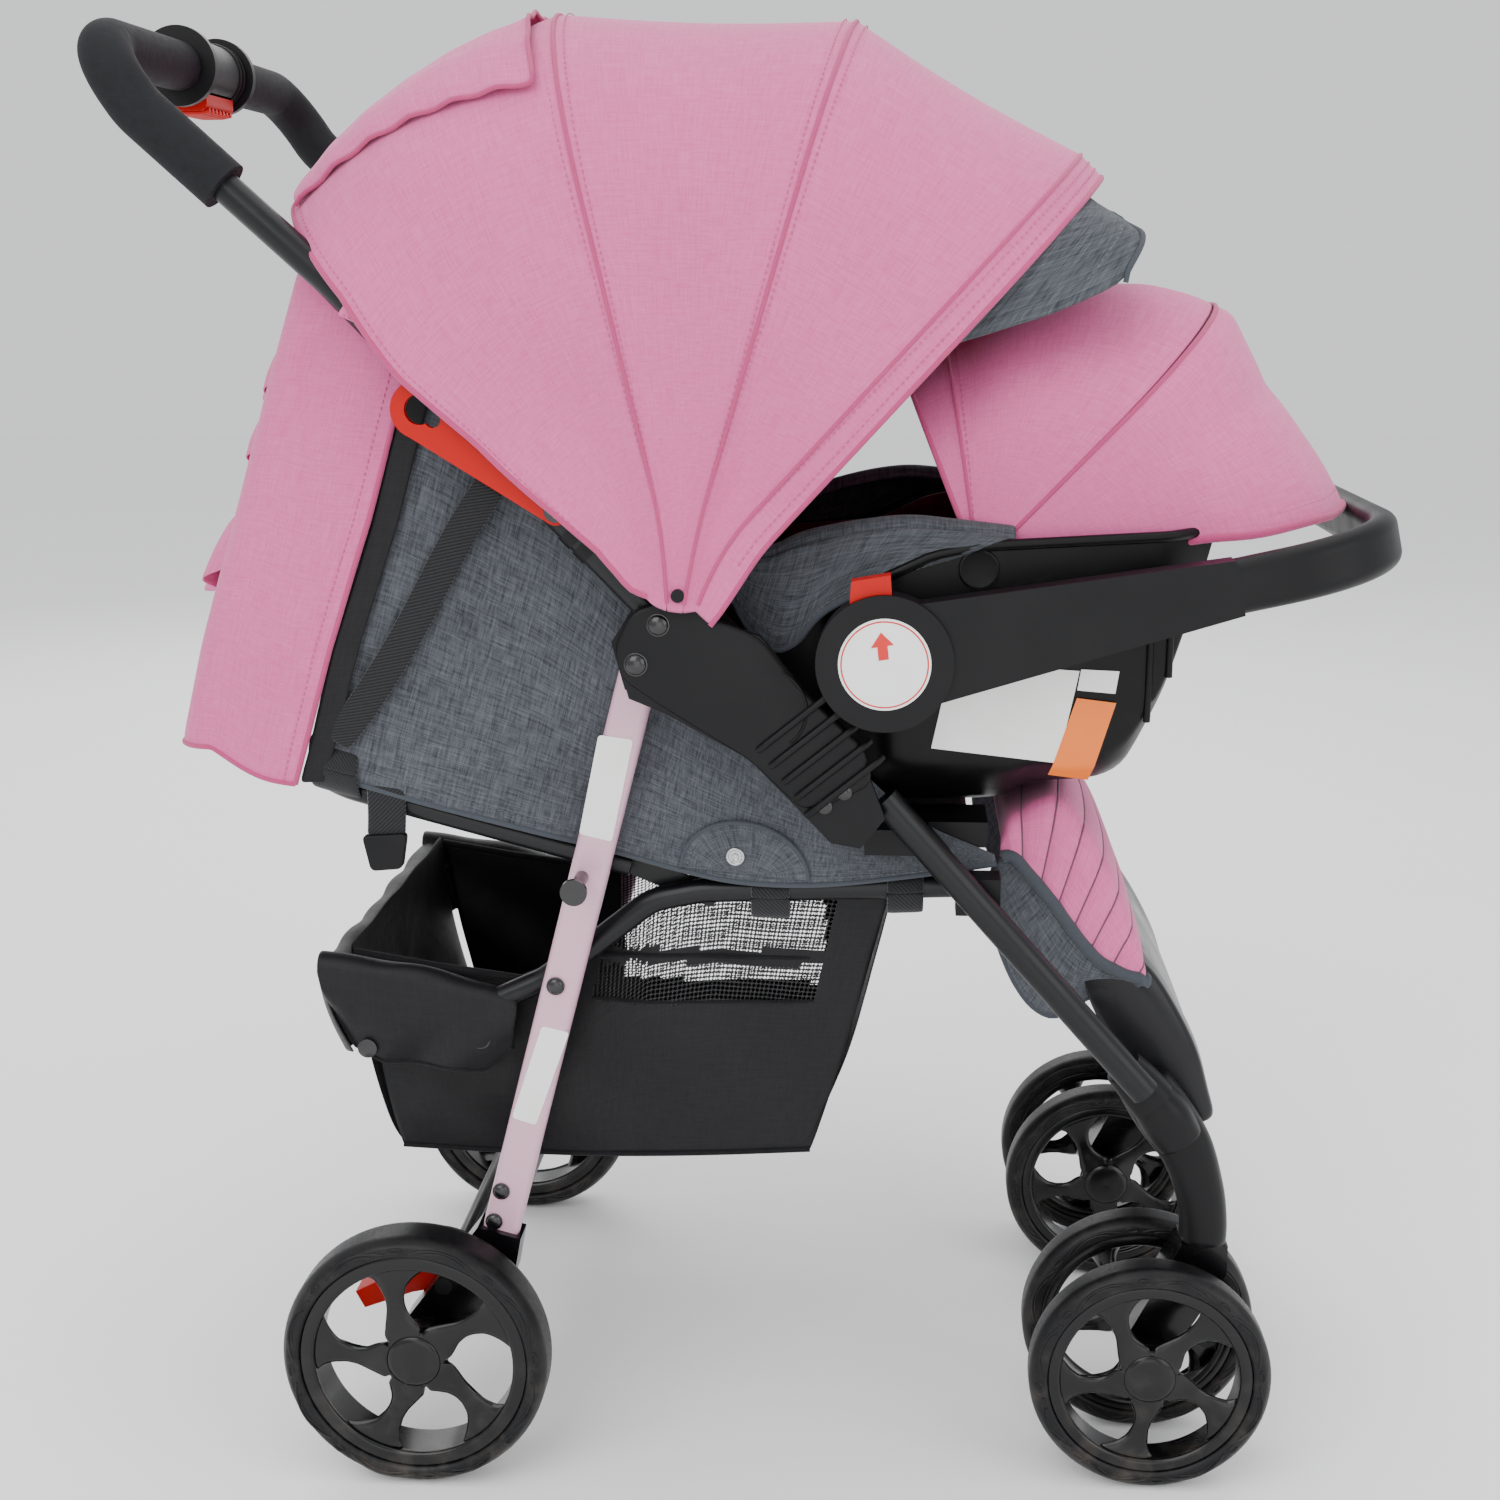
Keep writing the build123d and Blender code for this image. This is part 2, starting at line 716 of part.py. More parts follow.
def hood_front():
    """Front part of the hood, from its front band back to the rear bow."""
    first = (49.0, 168.0, 190.0, 92.0)
    last = (108.0, 168.0, 122.0, 70.0)
    return hoop_panel(hood_pivot, first, last, canopy_cloth, 18)


def carry_handle():
    """Broad U-shaped handle with a round hub at each end."""
    tip = (373.0, 631.0)
    mid_y = (arm_y[0] + arm_y[1]) / 2
    near = [(104, -mid_y, 571), (tip[0], -mid_y, tip[1])]
    far = [(x, -y, z) for x, y, z in reversed(near)]
    with BuildPart() as piece:
        with BuildLine():
            route = FilletPolyline(*(near + far), radius=70)
        with BuildSketch(Plane(origin=route @ 0, x_dir=(0, 1, 0), z_dir=route % 0)):
            RectangleRounded(arm_y[1] - arm_y[0], 33, 8.5)
        sweep()
        for side in (-1, 1):
            low = min(side * arm_y[0], side * (arm_y[1] + 3))
            add(disc(carrier_hub, carrier_hub_r, low, low + arm_y[1] + 3 - arm_y[0]))
            arm = [along(carrier_hub, tip, 6, -32), along(carrier_hub, tip, 210, -16.4),
                   along(carrier_hub, tip, 210, 16.4), along(carrier_hub, tip, 6, 32)]
            low = min(side * arm_y[0], side * arm_y[1])
            add(plate(arm, low, low + arm_y[1] - arm_y[0]))
            low = min(side * arm_y[0], side * 222.2)
            add(disc(carrier_hub, 9 + gap, low, low + 11.2), mode=Mode.SUBTRACT)
            low = min(side * 214.3, side * 227.7)
            slot = [(50.7, 592), (76.3, 596), (76.3, 620), (50.7, 616)]
            add(plate(slot, low, low + 13.4), mode=Mode.SUBTRACT)
    return piece.part


def handle_button():
    """Release button on top of the near carry handle hub."""
    return plate([(51, 598), (76, 602), (75, 616), (52, 612)], -227.5, -214.5)


# ---- build and write ----------------------------------------------------------------------
save("front_legs", pair(front_leg()))
save("junction_housings", pair(junction_housing()))
save("caster_sockets", pair(caster_socket()))
save("footrest", footrest())
save("footrest_bar", footrest_bar())
save("seat_frame_tube", seat_frame())
save("seat_brackets", seat_brackets())
save("seat_cushion", seat_cushion())
save("seat_side_panels", seat_side_panels())
save("head_curtain", head_curtain())
save("basket", basket())
save("carrier_cradles", carrier_cradles())
save("frame_rivets", frame_rivets())
save("recline_pins", recline_pins())

save("handle_tube", handle_tube())
near_foam = foam_grip()
save("foam_grip_right", near_foam)
save("foam_grip_left", mirrored(near_foam))
save("handle_grip_hub", handle_grip_hub())
save("fold_trigger", fold_trigger())
save("tube_clips", tube_clips())
save("latch_rivet", latch_rivet())
save("storage_latch", storage_latch())

save("rear_legs", pair(rear_leg()))
save("axle_brackets", pair(axle_bracket()))
save("rear_crossbar", rear_crossbar())
save("leg_stud", leg_stud())
save("leg_rivets", leg_rivets())
save("brake_bar", brake_bar())
save("brake_pedals", brake_pedals())

rear_tyre = tyre(rear_size)
rear_rim = rim(rear_size)
front_tyre = tyre(front_size)
front_rim = rim(front_size)
for side_name, side in (("right", -1), ("left", 1)):
    facing = rear_rim if side < 0 else mirrored(rear_rim)
    save(f"rear_tyre_{side_name}", placed(rear_tyre, rear_axle[0], side * rear_wheel_y, rear_axle[1]))
    save(f"rear_rim_{side_name}", placed(facing, rear_axle[0], side * rear_wheel_y, rear_axle[1]))
    save(f"caster_fork_{side_name}", caster_fork(side))
    for place_name, place in (("outer", 1), ("inner", -1)):
        y = side * (caster_y + place * twin_offset)
        facing = front_rim if side * place < 0 else mirrored(front_rim)
        save(f"front_tyre_{side_name}_{place_name}", placed(front_tyre, front_axle[0], y, front_axle[1]))
        save(f"front_rim_{side_name}_{place_name}", placed(facing, front_axle[0], y, front_axle[1]))

save("canopy_rear_panel", canopy_rear())
save("canopy_mid_panel", hoop_panel(canopy_hub, arch("rear"), arch("mid"), canopy_cloth, canopy_inner))
save("canopy_front_panel", hoop_panel(canopy_hub, arch("mid"), arch("front"), canopy_cloth,
                                      canopy_inner))
for bow_name in bow_angles:
    save(f"canopy_bow_{bow_name}", canopy_bow(bow_name))
save("canopy_visor", canopy_visor())

save("backrest_tube", backrest_tube())
save("backrest_pad", backrest_pad())
save("leg_rest", leg_rest())

save("carrier_shell", carrier_shell())
save("carrier_liner", carrier_liner())
save("hood_rear", hood_rear())
save("hood_front", hood_front())
save("carry_handle", carry_handle())
save("handle_buttons", pair(handle_button()))
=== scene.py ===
import json
import math

import bpy
from mathutils import Matrix, Vector

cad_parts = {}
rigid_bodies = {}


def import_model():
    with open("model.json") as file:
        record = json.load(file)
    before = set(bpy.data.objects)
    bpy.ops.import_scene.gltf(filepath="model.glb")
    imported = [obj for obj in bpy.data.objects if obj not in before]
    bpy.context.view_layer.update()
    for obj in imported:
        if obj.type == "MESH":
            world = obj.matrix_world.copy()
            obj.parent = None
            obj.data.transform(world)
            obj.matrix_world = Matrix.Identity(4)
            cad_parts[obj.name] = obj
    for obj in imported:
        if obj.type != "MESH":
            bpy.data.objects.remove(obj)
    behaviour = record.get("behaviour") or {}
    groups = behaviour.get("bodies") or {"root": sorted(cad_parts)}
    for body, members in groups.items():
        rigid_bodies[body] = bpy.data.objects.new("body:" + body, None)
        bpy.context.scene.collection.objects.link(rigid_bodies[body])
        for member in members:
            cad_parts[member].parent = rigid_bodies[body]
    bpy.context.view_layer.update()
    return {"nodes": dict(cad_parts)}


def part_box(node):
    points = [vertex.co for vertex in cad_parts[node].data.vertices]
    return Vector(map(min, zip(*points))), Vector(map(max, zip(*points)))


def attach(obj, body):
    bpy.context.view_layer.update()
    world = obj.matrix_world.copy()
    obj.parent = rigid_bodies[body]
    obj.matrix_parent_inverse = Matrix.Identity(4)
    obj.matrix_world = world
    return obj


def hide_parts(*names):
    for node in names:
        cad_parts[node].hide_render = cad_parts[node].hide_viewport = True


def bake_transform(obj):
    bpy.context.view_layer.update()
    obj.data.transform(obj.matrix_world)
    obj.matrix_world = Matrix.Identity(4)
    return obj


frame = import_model()
nodes = frame["nodes"]

# Sizes are millimetres in the stroller's drawing, which starts a little behind its middle.
drawing_shift = 19.387
both_sides = ((-1, "right"), (1, "left"))
carrier_hub = (72, 563.5)

# The canopy turns about its hub; its three bows stand at these angles, in degrees from straight ahead.
canopy_hub = (-52.0, 601.0)
canopy_radius = 351
canopy_half = 211.5
canopy_corner = 110
rear_bow, middle_bow, front_bow = 103, 73, 47

# The carrier's hood turns about its pivot, and its seam lies over this bow.
hood_pivot = (128.0, 614.0)
hood_bow = 46


# ---- shared helpers ------------------------------------------------------------------------
def pt(x, y, z):
    """Drawing millimetres to metres in the frame."""
    return Vector(((x + drawing_shift) / 1000, y / 1000, z / 1000))


def blank():
    """Deselect everything."""
    if bpy.context.object and bpy.context.object.mode != "OBJECT":
        bpy.ops.object.mode_set(mode="OBJECT")
    for o in bpy.context.view_layer.objects:
        o.select_set(False)


def pick(*objs):
    """Select these pieces only; the first is active."""
    blank()
    for o in objs:
        o.select_set(True)
    bpy.context.view_layer.objects.active = objs[0]
    return objs[0]


def named(name):
    """Name the piece that was just added."""
    o = bpy.context.object
    o.name = o.data.name = name
    return o


def modify(o, kind, **settings):
    """Add a modifier and apply it."""
    pick(o)
    m = o.modifiers.new(kind.title(), kind)
    for key, value in settings.items():
        setattr(m, key, value)
    bpy.ops.object.modifier_apply(modifier=m.name)
    return o


def settle(o):
    """Put the piece's place into its mesh."""
    pick(o)
    bpy.ops.object.transform_apply(location=True, rotation=True, scale=True)
    return o


def smooth(o, degrees=180.0):
    """Shade smooth, with edges sharper than the angle left crisp."""
    pick(o)
    if degrees >= 180:
        bpy.ops.object.shade_smooth()
    else:
        bpy.ops.object.shade_smooth_by_angle(angle=math.radians(degrees))
    return o


def outward(o):
    """Merge doubles and turn all faces outwards."""
    pick(o)
    bpy.ops.object.mode_set(mode="EDIT")
    bpy.ops.mesh.select_all(action="SELECT")
    bpy.ops.mesh.remove_doubles(threshold=0.00002)
    bpy.ops.mesh.normals_make_consistent(inside=False)
    bpy.ops.object.mode_set(mode="OBJECT")
    return o


def face_away(o, centre):
    """Turn the faces of an open skin away from a centre."""
    total = sum((p.center - centre).dot(p.normal) * p.area for p in o.data.polygons)
    if total < 0:
        pick(o)
        bpy.ops.object.mode_set(mode="EDIT")
        bpy.ops.mesh.select_all(action="SELECT")
        bpy.ops.mesh.flip_normals()
        bpy.ops.object.mode_set(mode="OBJECT")
    return o


def joined(name, *objs):
    """Join pieces into one."""
    objs = [o for o in objs if o]
    pick(*objs)
    if len(objs) > 1:
        bpy.ops.object.join()
    return named(name)


def copied(o, name):
    pick(o)
    bpy.ops.object.duplicate()
    return named(name)


def finish(o, body, material, slot=None, angle=180.0, stands_for=()):
    """Give a finished piece its smoothing, body and material, and hide what it stands for; slot is not used."""
    smooth(o, angle)
    if material:
        o.data.materials.clear()
        o.data.materials.append(material)
    if body:
        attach(o, body)
    if stands_for:
        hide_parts(*stands_for)
    return o


def curve_points(points, steps):
    """Smooth run through the points, as evenly spaced places."""
    pts = [Vector(p) for p in points]
    if len(pts) == 2:
        return [pts[0].lerp(pts[1], i / steps) for i in range(steps + 1)]
    full = [2 * pts[0] - pts[1]] + pts + [2 * pts[-1] - pts[-2]]
    dense = []
    for a, b, c, d in zip(full, full[1:], full[2:], full[3:]):
        for k in range(12):
            t = k / 12
            dense.append(0.5 * (2 * b + (c - a) * t + (2 * a - 5 * b + 4 * c - d) * t ** 2
                                + (3 * b - a - 3 * c + d) * t ** 3))
    dense.append(pts[-1])
    reach = [0.0]
    for a, b in zip(dense, dense[1:]):
        reach.append(reach[-1] + (b - a).length)
    even, k = [], 0
    for i in range(steps + 1):
        want = reach[-1] * i / steps
        while k < len(reach) - 2 and reach[k + 1] < want:
            k += 1
        span = max(reach[k + 1] - reach[k], 1e-9)
        even.append(dense[k].lerp(dense[k + 1], min(1, max(0, (want - reach[k]) / span))))
    return even


def side_line(points, steps):
    """Smooth run in the side view through (x, z) points, in drawing millimetres."""
    return curve_points([(x, 0, z) for x, z in points], steps)


def spot_on(run, u):
    """Spot at a share u of an even run."""
    last = len(run) - 2
    i = u * (last + 1)
    k = min(last, int(i))
    return run[k].lerp(run[k + 1], i - k)


def edge_run(place, steps, u=None, v=None):
    """Run across a sheet along the line where u, or v, is held."""
    return [place(i / steps if u is None else u, i / steps if v is None else v) for i in range(steps + 1)]


def table(stops, x):
    """Value between stops, each (place, value)."""
    if x <= stops[0][0]:
        return stops[0][1]
    for (a, va), (b, vb) in zip(stops, stops[1:]):
        if x <= b:
            t = (x - a) / (b - a)
            return va + (vb - va) * t
    return stops[-1][1]


def cord_line(name, points, radius, sides=3, steps=None, closed=False):
    """Round piping, thread or wire along a smooth run."""
    run = curve_points(points, steps) if steps else [Vector(p) for p in points]
    blank()
    data = bpy.data.curves.new(name, "CURVE")
    data.dimensions = "3D"
    spline = data.splines.new("POLY")
    spline.points.add(len(run) - 1)
    for place, p in zip(spline.points, run):
        place.co = (*p, 1)
    spline.use_cyclic_u = closed
    data.bevel_depth = radius
    data.bevel_resolution = sides
    data.use_fill_caps = True
    o = bpy.data.objects.new(name, data)
    bpy.context.scene.collection.objects.link(o)
    pick(o)
    bpy.ops.object.convert(target="MESH")
    return named(name)


def trim(name, run, radius, body, material, slot, angle=180.0):
    """Finished piping, hem or tape along a run."""
    return finish(cord_line(name, run, radius), body, material, slot, angle)


def stitches(name, points, material, body, pitch=0.0042, radius=0.00045, slot=None):
    """Row of thread stitches along a run."""
    run = [Vector(p) for p in points]
    length = sum((b - a).length for a, b in zip(run, run[1:]))
    steps = max(2, int(length / 0.006))
    blank()
    bpy.ops.mesh.primitive_ico_sphere_add(subdivisions=1, radius=1)
    o = named(name)
    o.scale = (pitch * 0.36, radius, radius)
    settle(o)
    even = curve_points(points, steps)
    data = bpy.data.curves.new(name + "_way", "CURVE")
    data.dimensions = "3D"
    spline = data.splines.new("POLY")
    spline.points.add(len(even) - 1)
    for place, p in zip(spline.points, even):
        place.co = (*p, 1)
    way = bpy.data.objects.new(name + "_way", data)
    bpy.context.scene.collection.objects.link(way)
    count = max(1, int(length / pitch) - 1)
    for v in o.data.vertices:
        v.co.x += pitch / 2
    modify(o, "ARRAY", fit_type="FIXED_COUNT", count=count, use_relative_offset=False,
           use_constant_offset=True, constant_offset_displace=(pitch, 0, 0))
    modify(o, "CURVE", object=way, deform_axis="POS_X")
    bpy.data.objects.remove(way)
    return finish(o, body, material, slot)


def grid(name, across, along, place):
    """Fine grid of cloth whose corners are laid at place(u, v), with u and v from 0 to 1."""
    blank()
    bpy.ops.mesh.primitive_grid_add(x_subdivisions=across, y_subdivisions=along, size=2)
    o = named(name)
    for v in o.data.vertices:
        v.co = place((v.co.x + 1) / 2, (v.co.y + 1) / 2)
    return o


def measure(o):
    """Area of a flat or curved sheet before it gets its thickness."""
    return sum(p.area for p in o.data.polygons)


def spread_map(o, width, length):
    """Scale the piece's own map to metres, so that a weave keeps its size."""
    layer = o.data.uv_layers.active
    for loop in layer.data:
        loop.uv = (loop.uv[0] * width, loop.uv[1] * length)
    return o


def cloth(name, across, along, place, size, thick=0.0014):
    """Cloth sheet with a thickness, and its flat area."""
    o = grid(name, across, along, place)
    spread_map(o, *size)
    area = measure(o)
    modify(o, "SOLIDIFY", thickness=thick, offset=0)
    modify(o, "SUBSURF", levels=1, render_levels=1)
    return o, area


def declare(o, area, size):
    """Work out the area of a sheet cut a little larger than the hung cloth; nothing is done with it."""
    box_area = size[0] * size[1]
    cut = min(max(area, 0.31 * box_area), box_area)


def ribbon(name, points, side, width, thick, steps):
    """Flat webbing along a smooth run, its width along side."""
    run = curve_points(points, steps)

    def place(u, v):
        return run[round(u * steps)] + side.normalized() * ((v - 0.5) * width)
    length = sum((b - a).length for a, b in zip(run, run[1:]))
    o, area = cloth(name, steps, 3, place, (length, width), thick)
    return o, area, (length * 1.001, width * 1.001)


def disc(name, centre, radius, depth, bevel=0.0006, sides=40, inset=0.0, sink=0.0):
    """Round piece turned about Y, with optional sunk faces."""
    blank()
    bpy.ops.mesh.primitive_cylinder_add(vertices=sides, radius=radius, depth=depth,
                                        location=centre, rotation=(math.pi / 2, 0, 0))
    o = settle(named(name))
    if inset:
        pick(o)
        for part in (*o.data.edges, *o.data.vertices):
            part.select = False
        for p in o.data.polygons:
            p.select = abs(p.normal.y) > 0.9
        bpy.ops.object.mode_set(mode="EDIT")
        bpy.ops.mesh.select_mode(type="FACE")
        bpy.ops.mesh.inset(thickness=inset, depth=-sink, use_individual=True)
        bpy.ops.object.mode_set(mode="OBJECT")
    if bevel:
        modify(o, "BEVEL", width=bevel, segments=3, limit_method="ANGLE")
    return o


def slab(name, outline, y_low, y_high, bevel=0.0008, segments=2):
    """Flat plate with an outline in drawing millimetres; faces forward along Y."""
    blank()
    bpy.ops.mesh.primitive_circle_add(vertices=len(outline), radius=1, fill_type="NGON")
    o = named(name)
    for v, (x, z) in zip(o.data.vertices, outline):
        v.co = pt(x, y_low, z)
    modify(o, "SOLIDIFY", thickness=(y_high - y_low) / 1000, offset=0)
    low = min(v.co.y for v in o.data.vertices)
    for v in o.data.vertices:
        v.co.y += y_low / 1000 - low
    outward(o)
    if bevel:
        modify(o, "BEVEL", width=bevel, segments=segments, limit_method="ANGLE")
    return o


def round_outline(points, radius, steps=5):
    """Outline with its corners rounded."""
    out = []
    n = len(points)
    for i, p in enumerate(points):
        a, b = Vector(points[i - 1]), Vector(points[(i + 1) % n])
        p = Vector(p)
        d1, d2 = (a - p), (b - p)
        r = min(radius, d1.length * 0.45, d2.length * 0.45)
        s, e = p + d1.normalized() * r, p + d2.normalized() * r
        for k in range(steps + 1):
            t = k / steps
            out.append(tuple((1 - t) ** 2 * s + 2 * t * (1 - t) * p + t ** 2 * e))
    return out


# ---- camera, light and floor ---------------------------------------------------------------
def set_camera():
    """Three-quarter side view from a little above the handle's height."""
    yaw, pitch, roll = -0.0757, 0.2314, -0.0059
    look = Vector((math.sin(yaw) * math.cos(pitch), math.cos(yaw) * math.cos(pitch), -math.sin(pitch)))
    right = look.cross(Vector((0, 0, 1))).normalized()
    up = right.cross(look)
    r = right * math.cos(roll) + up * math.sin(roll)
    u = up * math.cos(roll) - right * math.sin(roll)
    blank()
    bpy.ops.object.camera_add(location=(0.0992, -1.3871, 0.7840))
    cam = bpy.context.object
    cam.name = "studio_camera"
    cam.rotation_mode = "QUATERNION"
    cam.rotation_quaternion = Matrix((r, u, -look)).transposed().to_quaternion()
    cam.data.sensor_width = 36
    cam.data.lens = 47.77
    cam.data.clip_start = 0.05
    bpy.context.scene.camera = cam


def area_light(name, place, aim, size, power):
    """Square soft light aimed at a spot."""
    blank()
    bpy.ops.object.light_add(type="AREA", location=place)
    lamp = bpy.context.object
    lamp.name = name
    lamp.data.size = size
    lamp.data.energy = power
    lamp.rotation_mode = "QUATERNION"
    lamp.rotation_quaternion = (Vector(aim) - Vector(place)).to_track_quat("-Z", "Y")


def set_studio():
    """Pale floor, five soft lights and an even sky."""
    blank()
    bpy.ops.mesh.primitive_plane_add(size=14, location=(0, 2, -0.0004))
    floor = named("studio_floor")
    pick(floor)
    bpy.ops.object.mode_set(mode="EDIT")
    bpy.ops.mesh.subdivide(number_cuts=2)
    bpy.ops.object.mode_set(mode="OBJECT")
    settle(floor)
    floor.data.materials.append(plain_floor())
    area_light("key_light", (-1.2, -2.4, 2.6), (0, 0, 0.5), 2.4, 60)
    area_light("fill_light", (2.6, -2.0, 1.5), (0, 0, 0.5), 2.2, 34)
    area_light("low_front_light", (0.2, -2.9, 0.5), (0, 0, 0.4), 1.8, 14)
    area_light("back_light", (-0.8, 2.6, 2.2), (0, 0, 0.6), 2.4, 40)
    area_light("top_light", (0.3, 0.1, 3.2), (0, 0, 0.5), 2.6, 38)
    world = bpy.data.worlds.new("studio_air")
    bpy.context.scene.world = world
    world.use_nodes = True
    world.node_tree.nodes["Background"].inputs["Color"].default_value = (0.97, 0.98, 1.0, 1)
    world.node_tree.nodes["Background"].inputs["Strength"].default_value = 1.0


# ---- shared surface effects ----------------------------------------------------------------
def shade_of(red, green, blue):
    """Screen colour, 0 to 255, as light."""
    def channel(c):
        c /= 255
        return c / 12.92 if c <= 0.04045 else ((c + 0.055) / 1.055) ** 2.4
    return (channel(red), channel(green), channel(blue), 1.0)


def new_group(name, inputs, outputs):
    """Empty node group: inputs are (name, kind, value), outputs (name, kind)."""
    group = bpy.data.node_groups.new(name, "ShaderNodeTree")
    for label, kind, value in inputs:
        socket = group.interface.new_socket(label, in_out="INPUT", socket_type="NodeSocket" + kind)
        if value is not None:
            socket.default_value = value
    for label, kind in outputs:
        group.interface.new_socket(label, in_out="OUTPUT", socket_type="NodeSocket" + kind)
    start = group.nodes.new("NodeGroupInput")
    end = group.nodes.new("NodeGroupOutput")
    return group, start.outputs, end.inputs


def feed(tree, n, values):
    """Link each socket in values to its input, and set each plain value on its input."""
    for key, value in values.items():
        if isinstance(value, bpy.types.NodeSocket):
            tree.links.new(value, n.inputs[key])
        else:
            n.inputs[key].default_value = value
    return n


def node(tree, kind, values=None, **settings):
    """Node with its settings, and values or links for its inputs."""
    n = tree.nodes.new("ShaderNode" + kind)
    for key, value in settings.items():
        setattr(n, key, value)
    return feed(tree, n, values or {})


def maths(tree, operation, a, b=0.0, clamp=False):
    return node(tree, "Math", {0: a, 1: b}, operation=operation, use_clamp=clamp).outputs[0]


def ramp_between(tree, value, low, high, to_low=0.0, to_high=1.0):
    """Value carried from one range to another, and held there."""
    n = node(tree, "MapRange", {"Value": value, "From Min": low, "From Max": high,
                                "To Min": to_low, "To Max": to_high}, clamp=True)
    return n.outputs[0]


def scaled(tree, vector, x, y, z):
    return node(tree, "VectorMath", {0: vector, 1: (x, y, z)}, operation="MULTIPLY").outputs[0]


def thread_group():
    """Warp and weft threads of uneven colour, crossing at right angles."""
    g, given, wanted = new_group("crossing_threads",
                                 [("Vector", "Vector", None), ("Fineness", "Float", 1.0)],
                                 [("Shade", "Float"), ("Height", "Float")])
    v = node(g, "VectorMath", {0: given["Vector"], "Scale": given["Fineness"]}, operation="SCALE").outputs[0]
    warp = node(g, "TexNoise", {"Vector": scaled(g, v, 900, 60, 300), "Scale": 1.0, "Detail": 2.0})
    weft = node(g, "TexNoise", {"Vector": scaled(g, v, 60, 900, 300), "Scale": 1.0, "Detail": 2.0})
    slub = node(g, "TexNoise", {"Vector": scaled(g, v, 320, 22, 60), "Scale": 1.0, "Detail": 1.0})
    slub2 = node(g, "TexNoise", {"Vector": scaled(g, v, 22, 320, 60), "Scale": 1.0, "Detail": 1.0})
    fine = maths(g, "ADD", warp.outputs["Fac"], weft.outputs["Fac"])
    coarse = maths(g, "ADD", slub.outputs["Fac"], slub2.outputs["Fac"])
    total = maths(g, "ADD", maths(g, "MULTIPLY", fine, 0.28), maths(g, "MULTIPLY", coarse, 0.22))
    g.links.new(ramp_between(g, total, 0.36, 0.64), wanted["Shade"])
    wave = node(g, "TexWave", {"Vector": v, "Scale": 420.0, "Distortion": 0.0},
                wave_type="BANDS", bands_direction="X")
    wave2 = node(g, "TexWave", {"Vector": v, "Scale": 420.0, "Distortion": 0.0},
                 wave_type="BANDS", bands_direction="Y")
    ribs = maths(g, "MAXIMUM", wave.outputs["Fac"], wave2.outputs["Fac"])
    g.links.new(maths(g, "ADD", maths(g, "MULTIPLY", ribs, 0.35), fine), wanted["Height"])
    return g


def wrinkle_group():
    """Soft folds, and slow patches of painted shade across cloth."""
    g, given, wanted = new_group("soft_folds",
                                 [("Vector", "Vector", None), ("Spread", "Float", 14.0)],
                                 [("Shade", "Float"), ("Height", "Float")])
    folds = node(g, "TexNoise", {"Vector": given["Vector"], "Scale": given["Spread"], "Detail": 3.0,
                                 "Roughness": 0.45, "Distortion": 0.6})
    # painted shade: this slow noise marks where the cloth is drawn darker, standing in for the shade of its folds
    slow = node(g, "TexNoise", {"Vector": given["Vector"], "Scale": 5.0, "Detail": 2.0})
    g.links.new(slow.outputs["Fac"], wanted["Shade"])
    g.links.new(folds.outputs["Fac"], wanted["Height"])
    return g


def grain_group():
    """Pebbled skin of moulded plastic, with an uneven gloss."""
    g, given, wanted = new_group("moulded_grain",
                                 [("Vector", "Vector", None), ("Pitch", "Float", 900.0)],
                                 [("Gloss", "Float"), ("Height", "Float")])
    cells = node(g, "TexVoronoi", {"Vector": given["Vector"], "Scale": given["Pitch"]})
    slow = node(g, "TexNoise", {"Vector": given["Vector"], "Scale": 26.0, "Detail": 4.0})
    g.links.new(slow.outputs["Fac"], wanted["Gloss"])
    g.links.new(cells.outputs["Distance"], wanted["Height"])
    return g


def scuff_group():
    """Fine rubbed streaks."""
    g, given, wanted = new_group("rubbed_streaks", [("Vector", "Vector", None)], [("Mask", "Float")])
    streak = node(g, "TexNoise", {"Vector": scaled(g, given["Vector"], 40, 260, 120), "Scale": 1.0,
                                  "Detail": 4.0, "Distortion": 0.8})
    patch = node(g, "TexNoise", {"Vector": given["Vector"], "Scale": 18.0, "Detail": 2.0})
    lines = ramp_between(g, streak.outputs["Fac"], 0.60, 0.72)
    where = ramp_between(g, patch.outputs["Fac"], 0.5, 0.65)
    g.links.new(maths(g, "MULTIPLY", lines, where), wanted["Mask"])
    return g


def dust_group():
    """Pale dust that gathers near the floor and in patches."""
    g, given, wanted = new_group("road_dust", [("Vector", "Vector", None), ("Height", "Float", 0.12)],
                                 [("Mask", "Float")])
    split = node(g, "SeparateXYZ", {"Vector": given["Vector"]})
    low = ramp_between(g, maths(g, "DIVIDE", split.outputs["Z"], given["Height"]), 0.0, 1.0, 1.0, 0.0)
    speck = node(g, "TexNoise", {"Vector": given["Vector"], "Scale": 60.0, "Detail": 5.0})
    g.links.new(maths(g, "MULTIPLY", low, ramp_between(g, speck.outputs["Fac"], 0.48, 0.75)), wanted["Mask"])
    return g


effects = {"threads": thread_group(), "folds": wrinkle_group(), "grain": grain_group(),
           "scuffs": scuff_group(), "dust": dust_group()}


def effect(tree, name, **values):
    """Outputs of one of the shared effects."""
    return feed(tree, node(tree, "Group", node_tree=effects[name]), values).outputs


def blend_colours(tree, amount, low, high):
    """Mix of two colours; 0, 6, 7 and 2 are the node's factor, A, B and result for colours."""
    return node(tree, "Mix", {0: amount, 6: low, 7: high}, data_type="RGBA").outputs[2]


def new_material(name, **shader):
    """Material, its tree, its surface shader and its texture places."""
    mat = bpy.data.materials.new(name)
    mat.use_nodes = True
    tree = mat.node_tree
    skin = tree.nodes["Principled BSDF"]
    for key, value in shader.items():
        skin.inputs[key.replace("_", " ")].default_value = value
    where = node(tree, "TexCoord")
    return mat, tree, skin, where.outputs


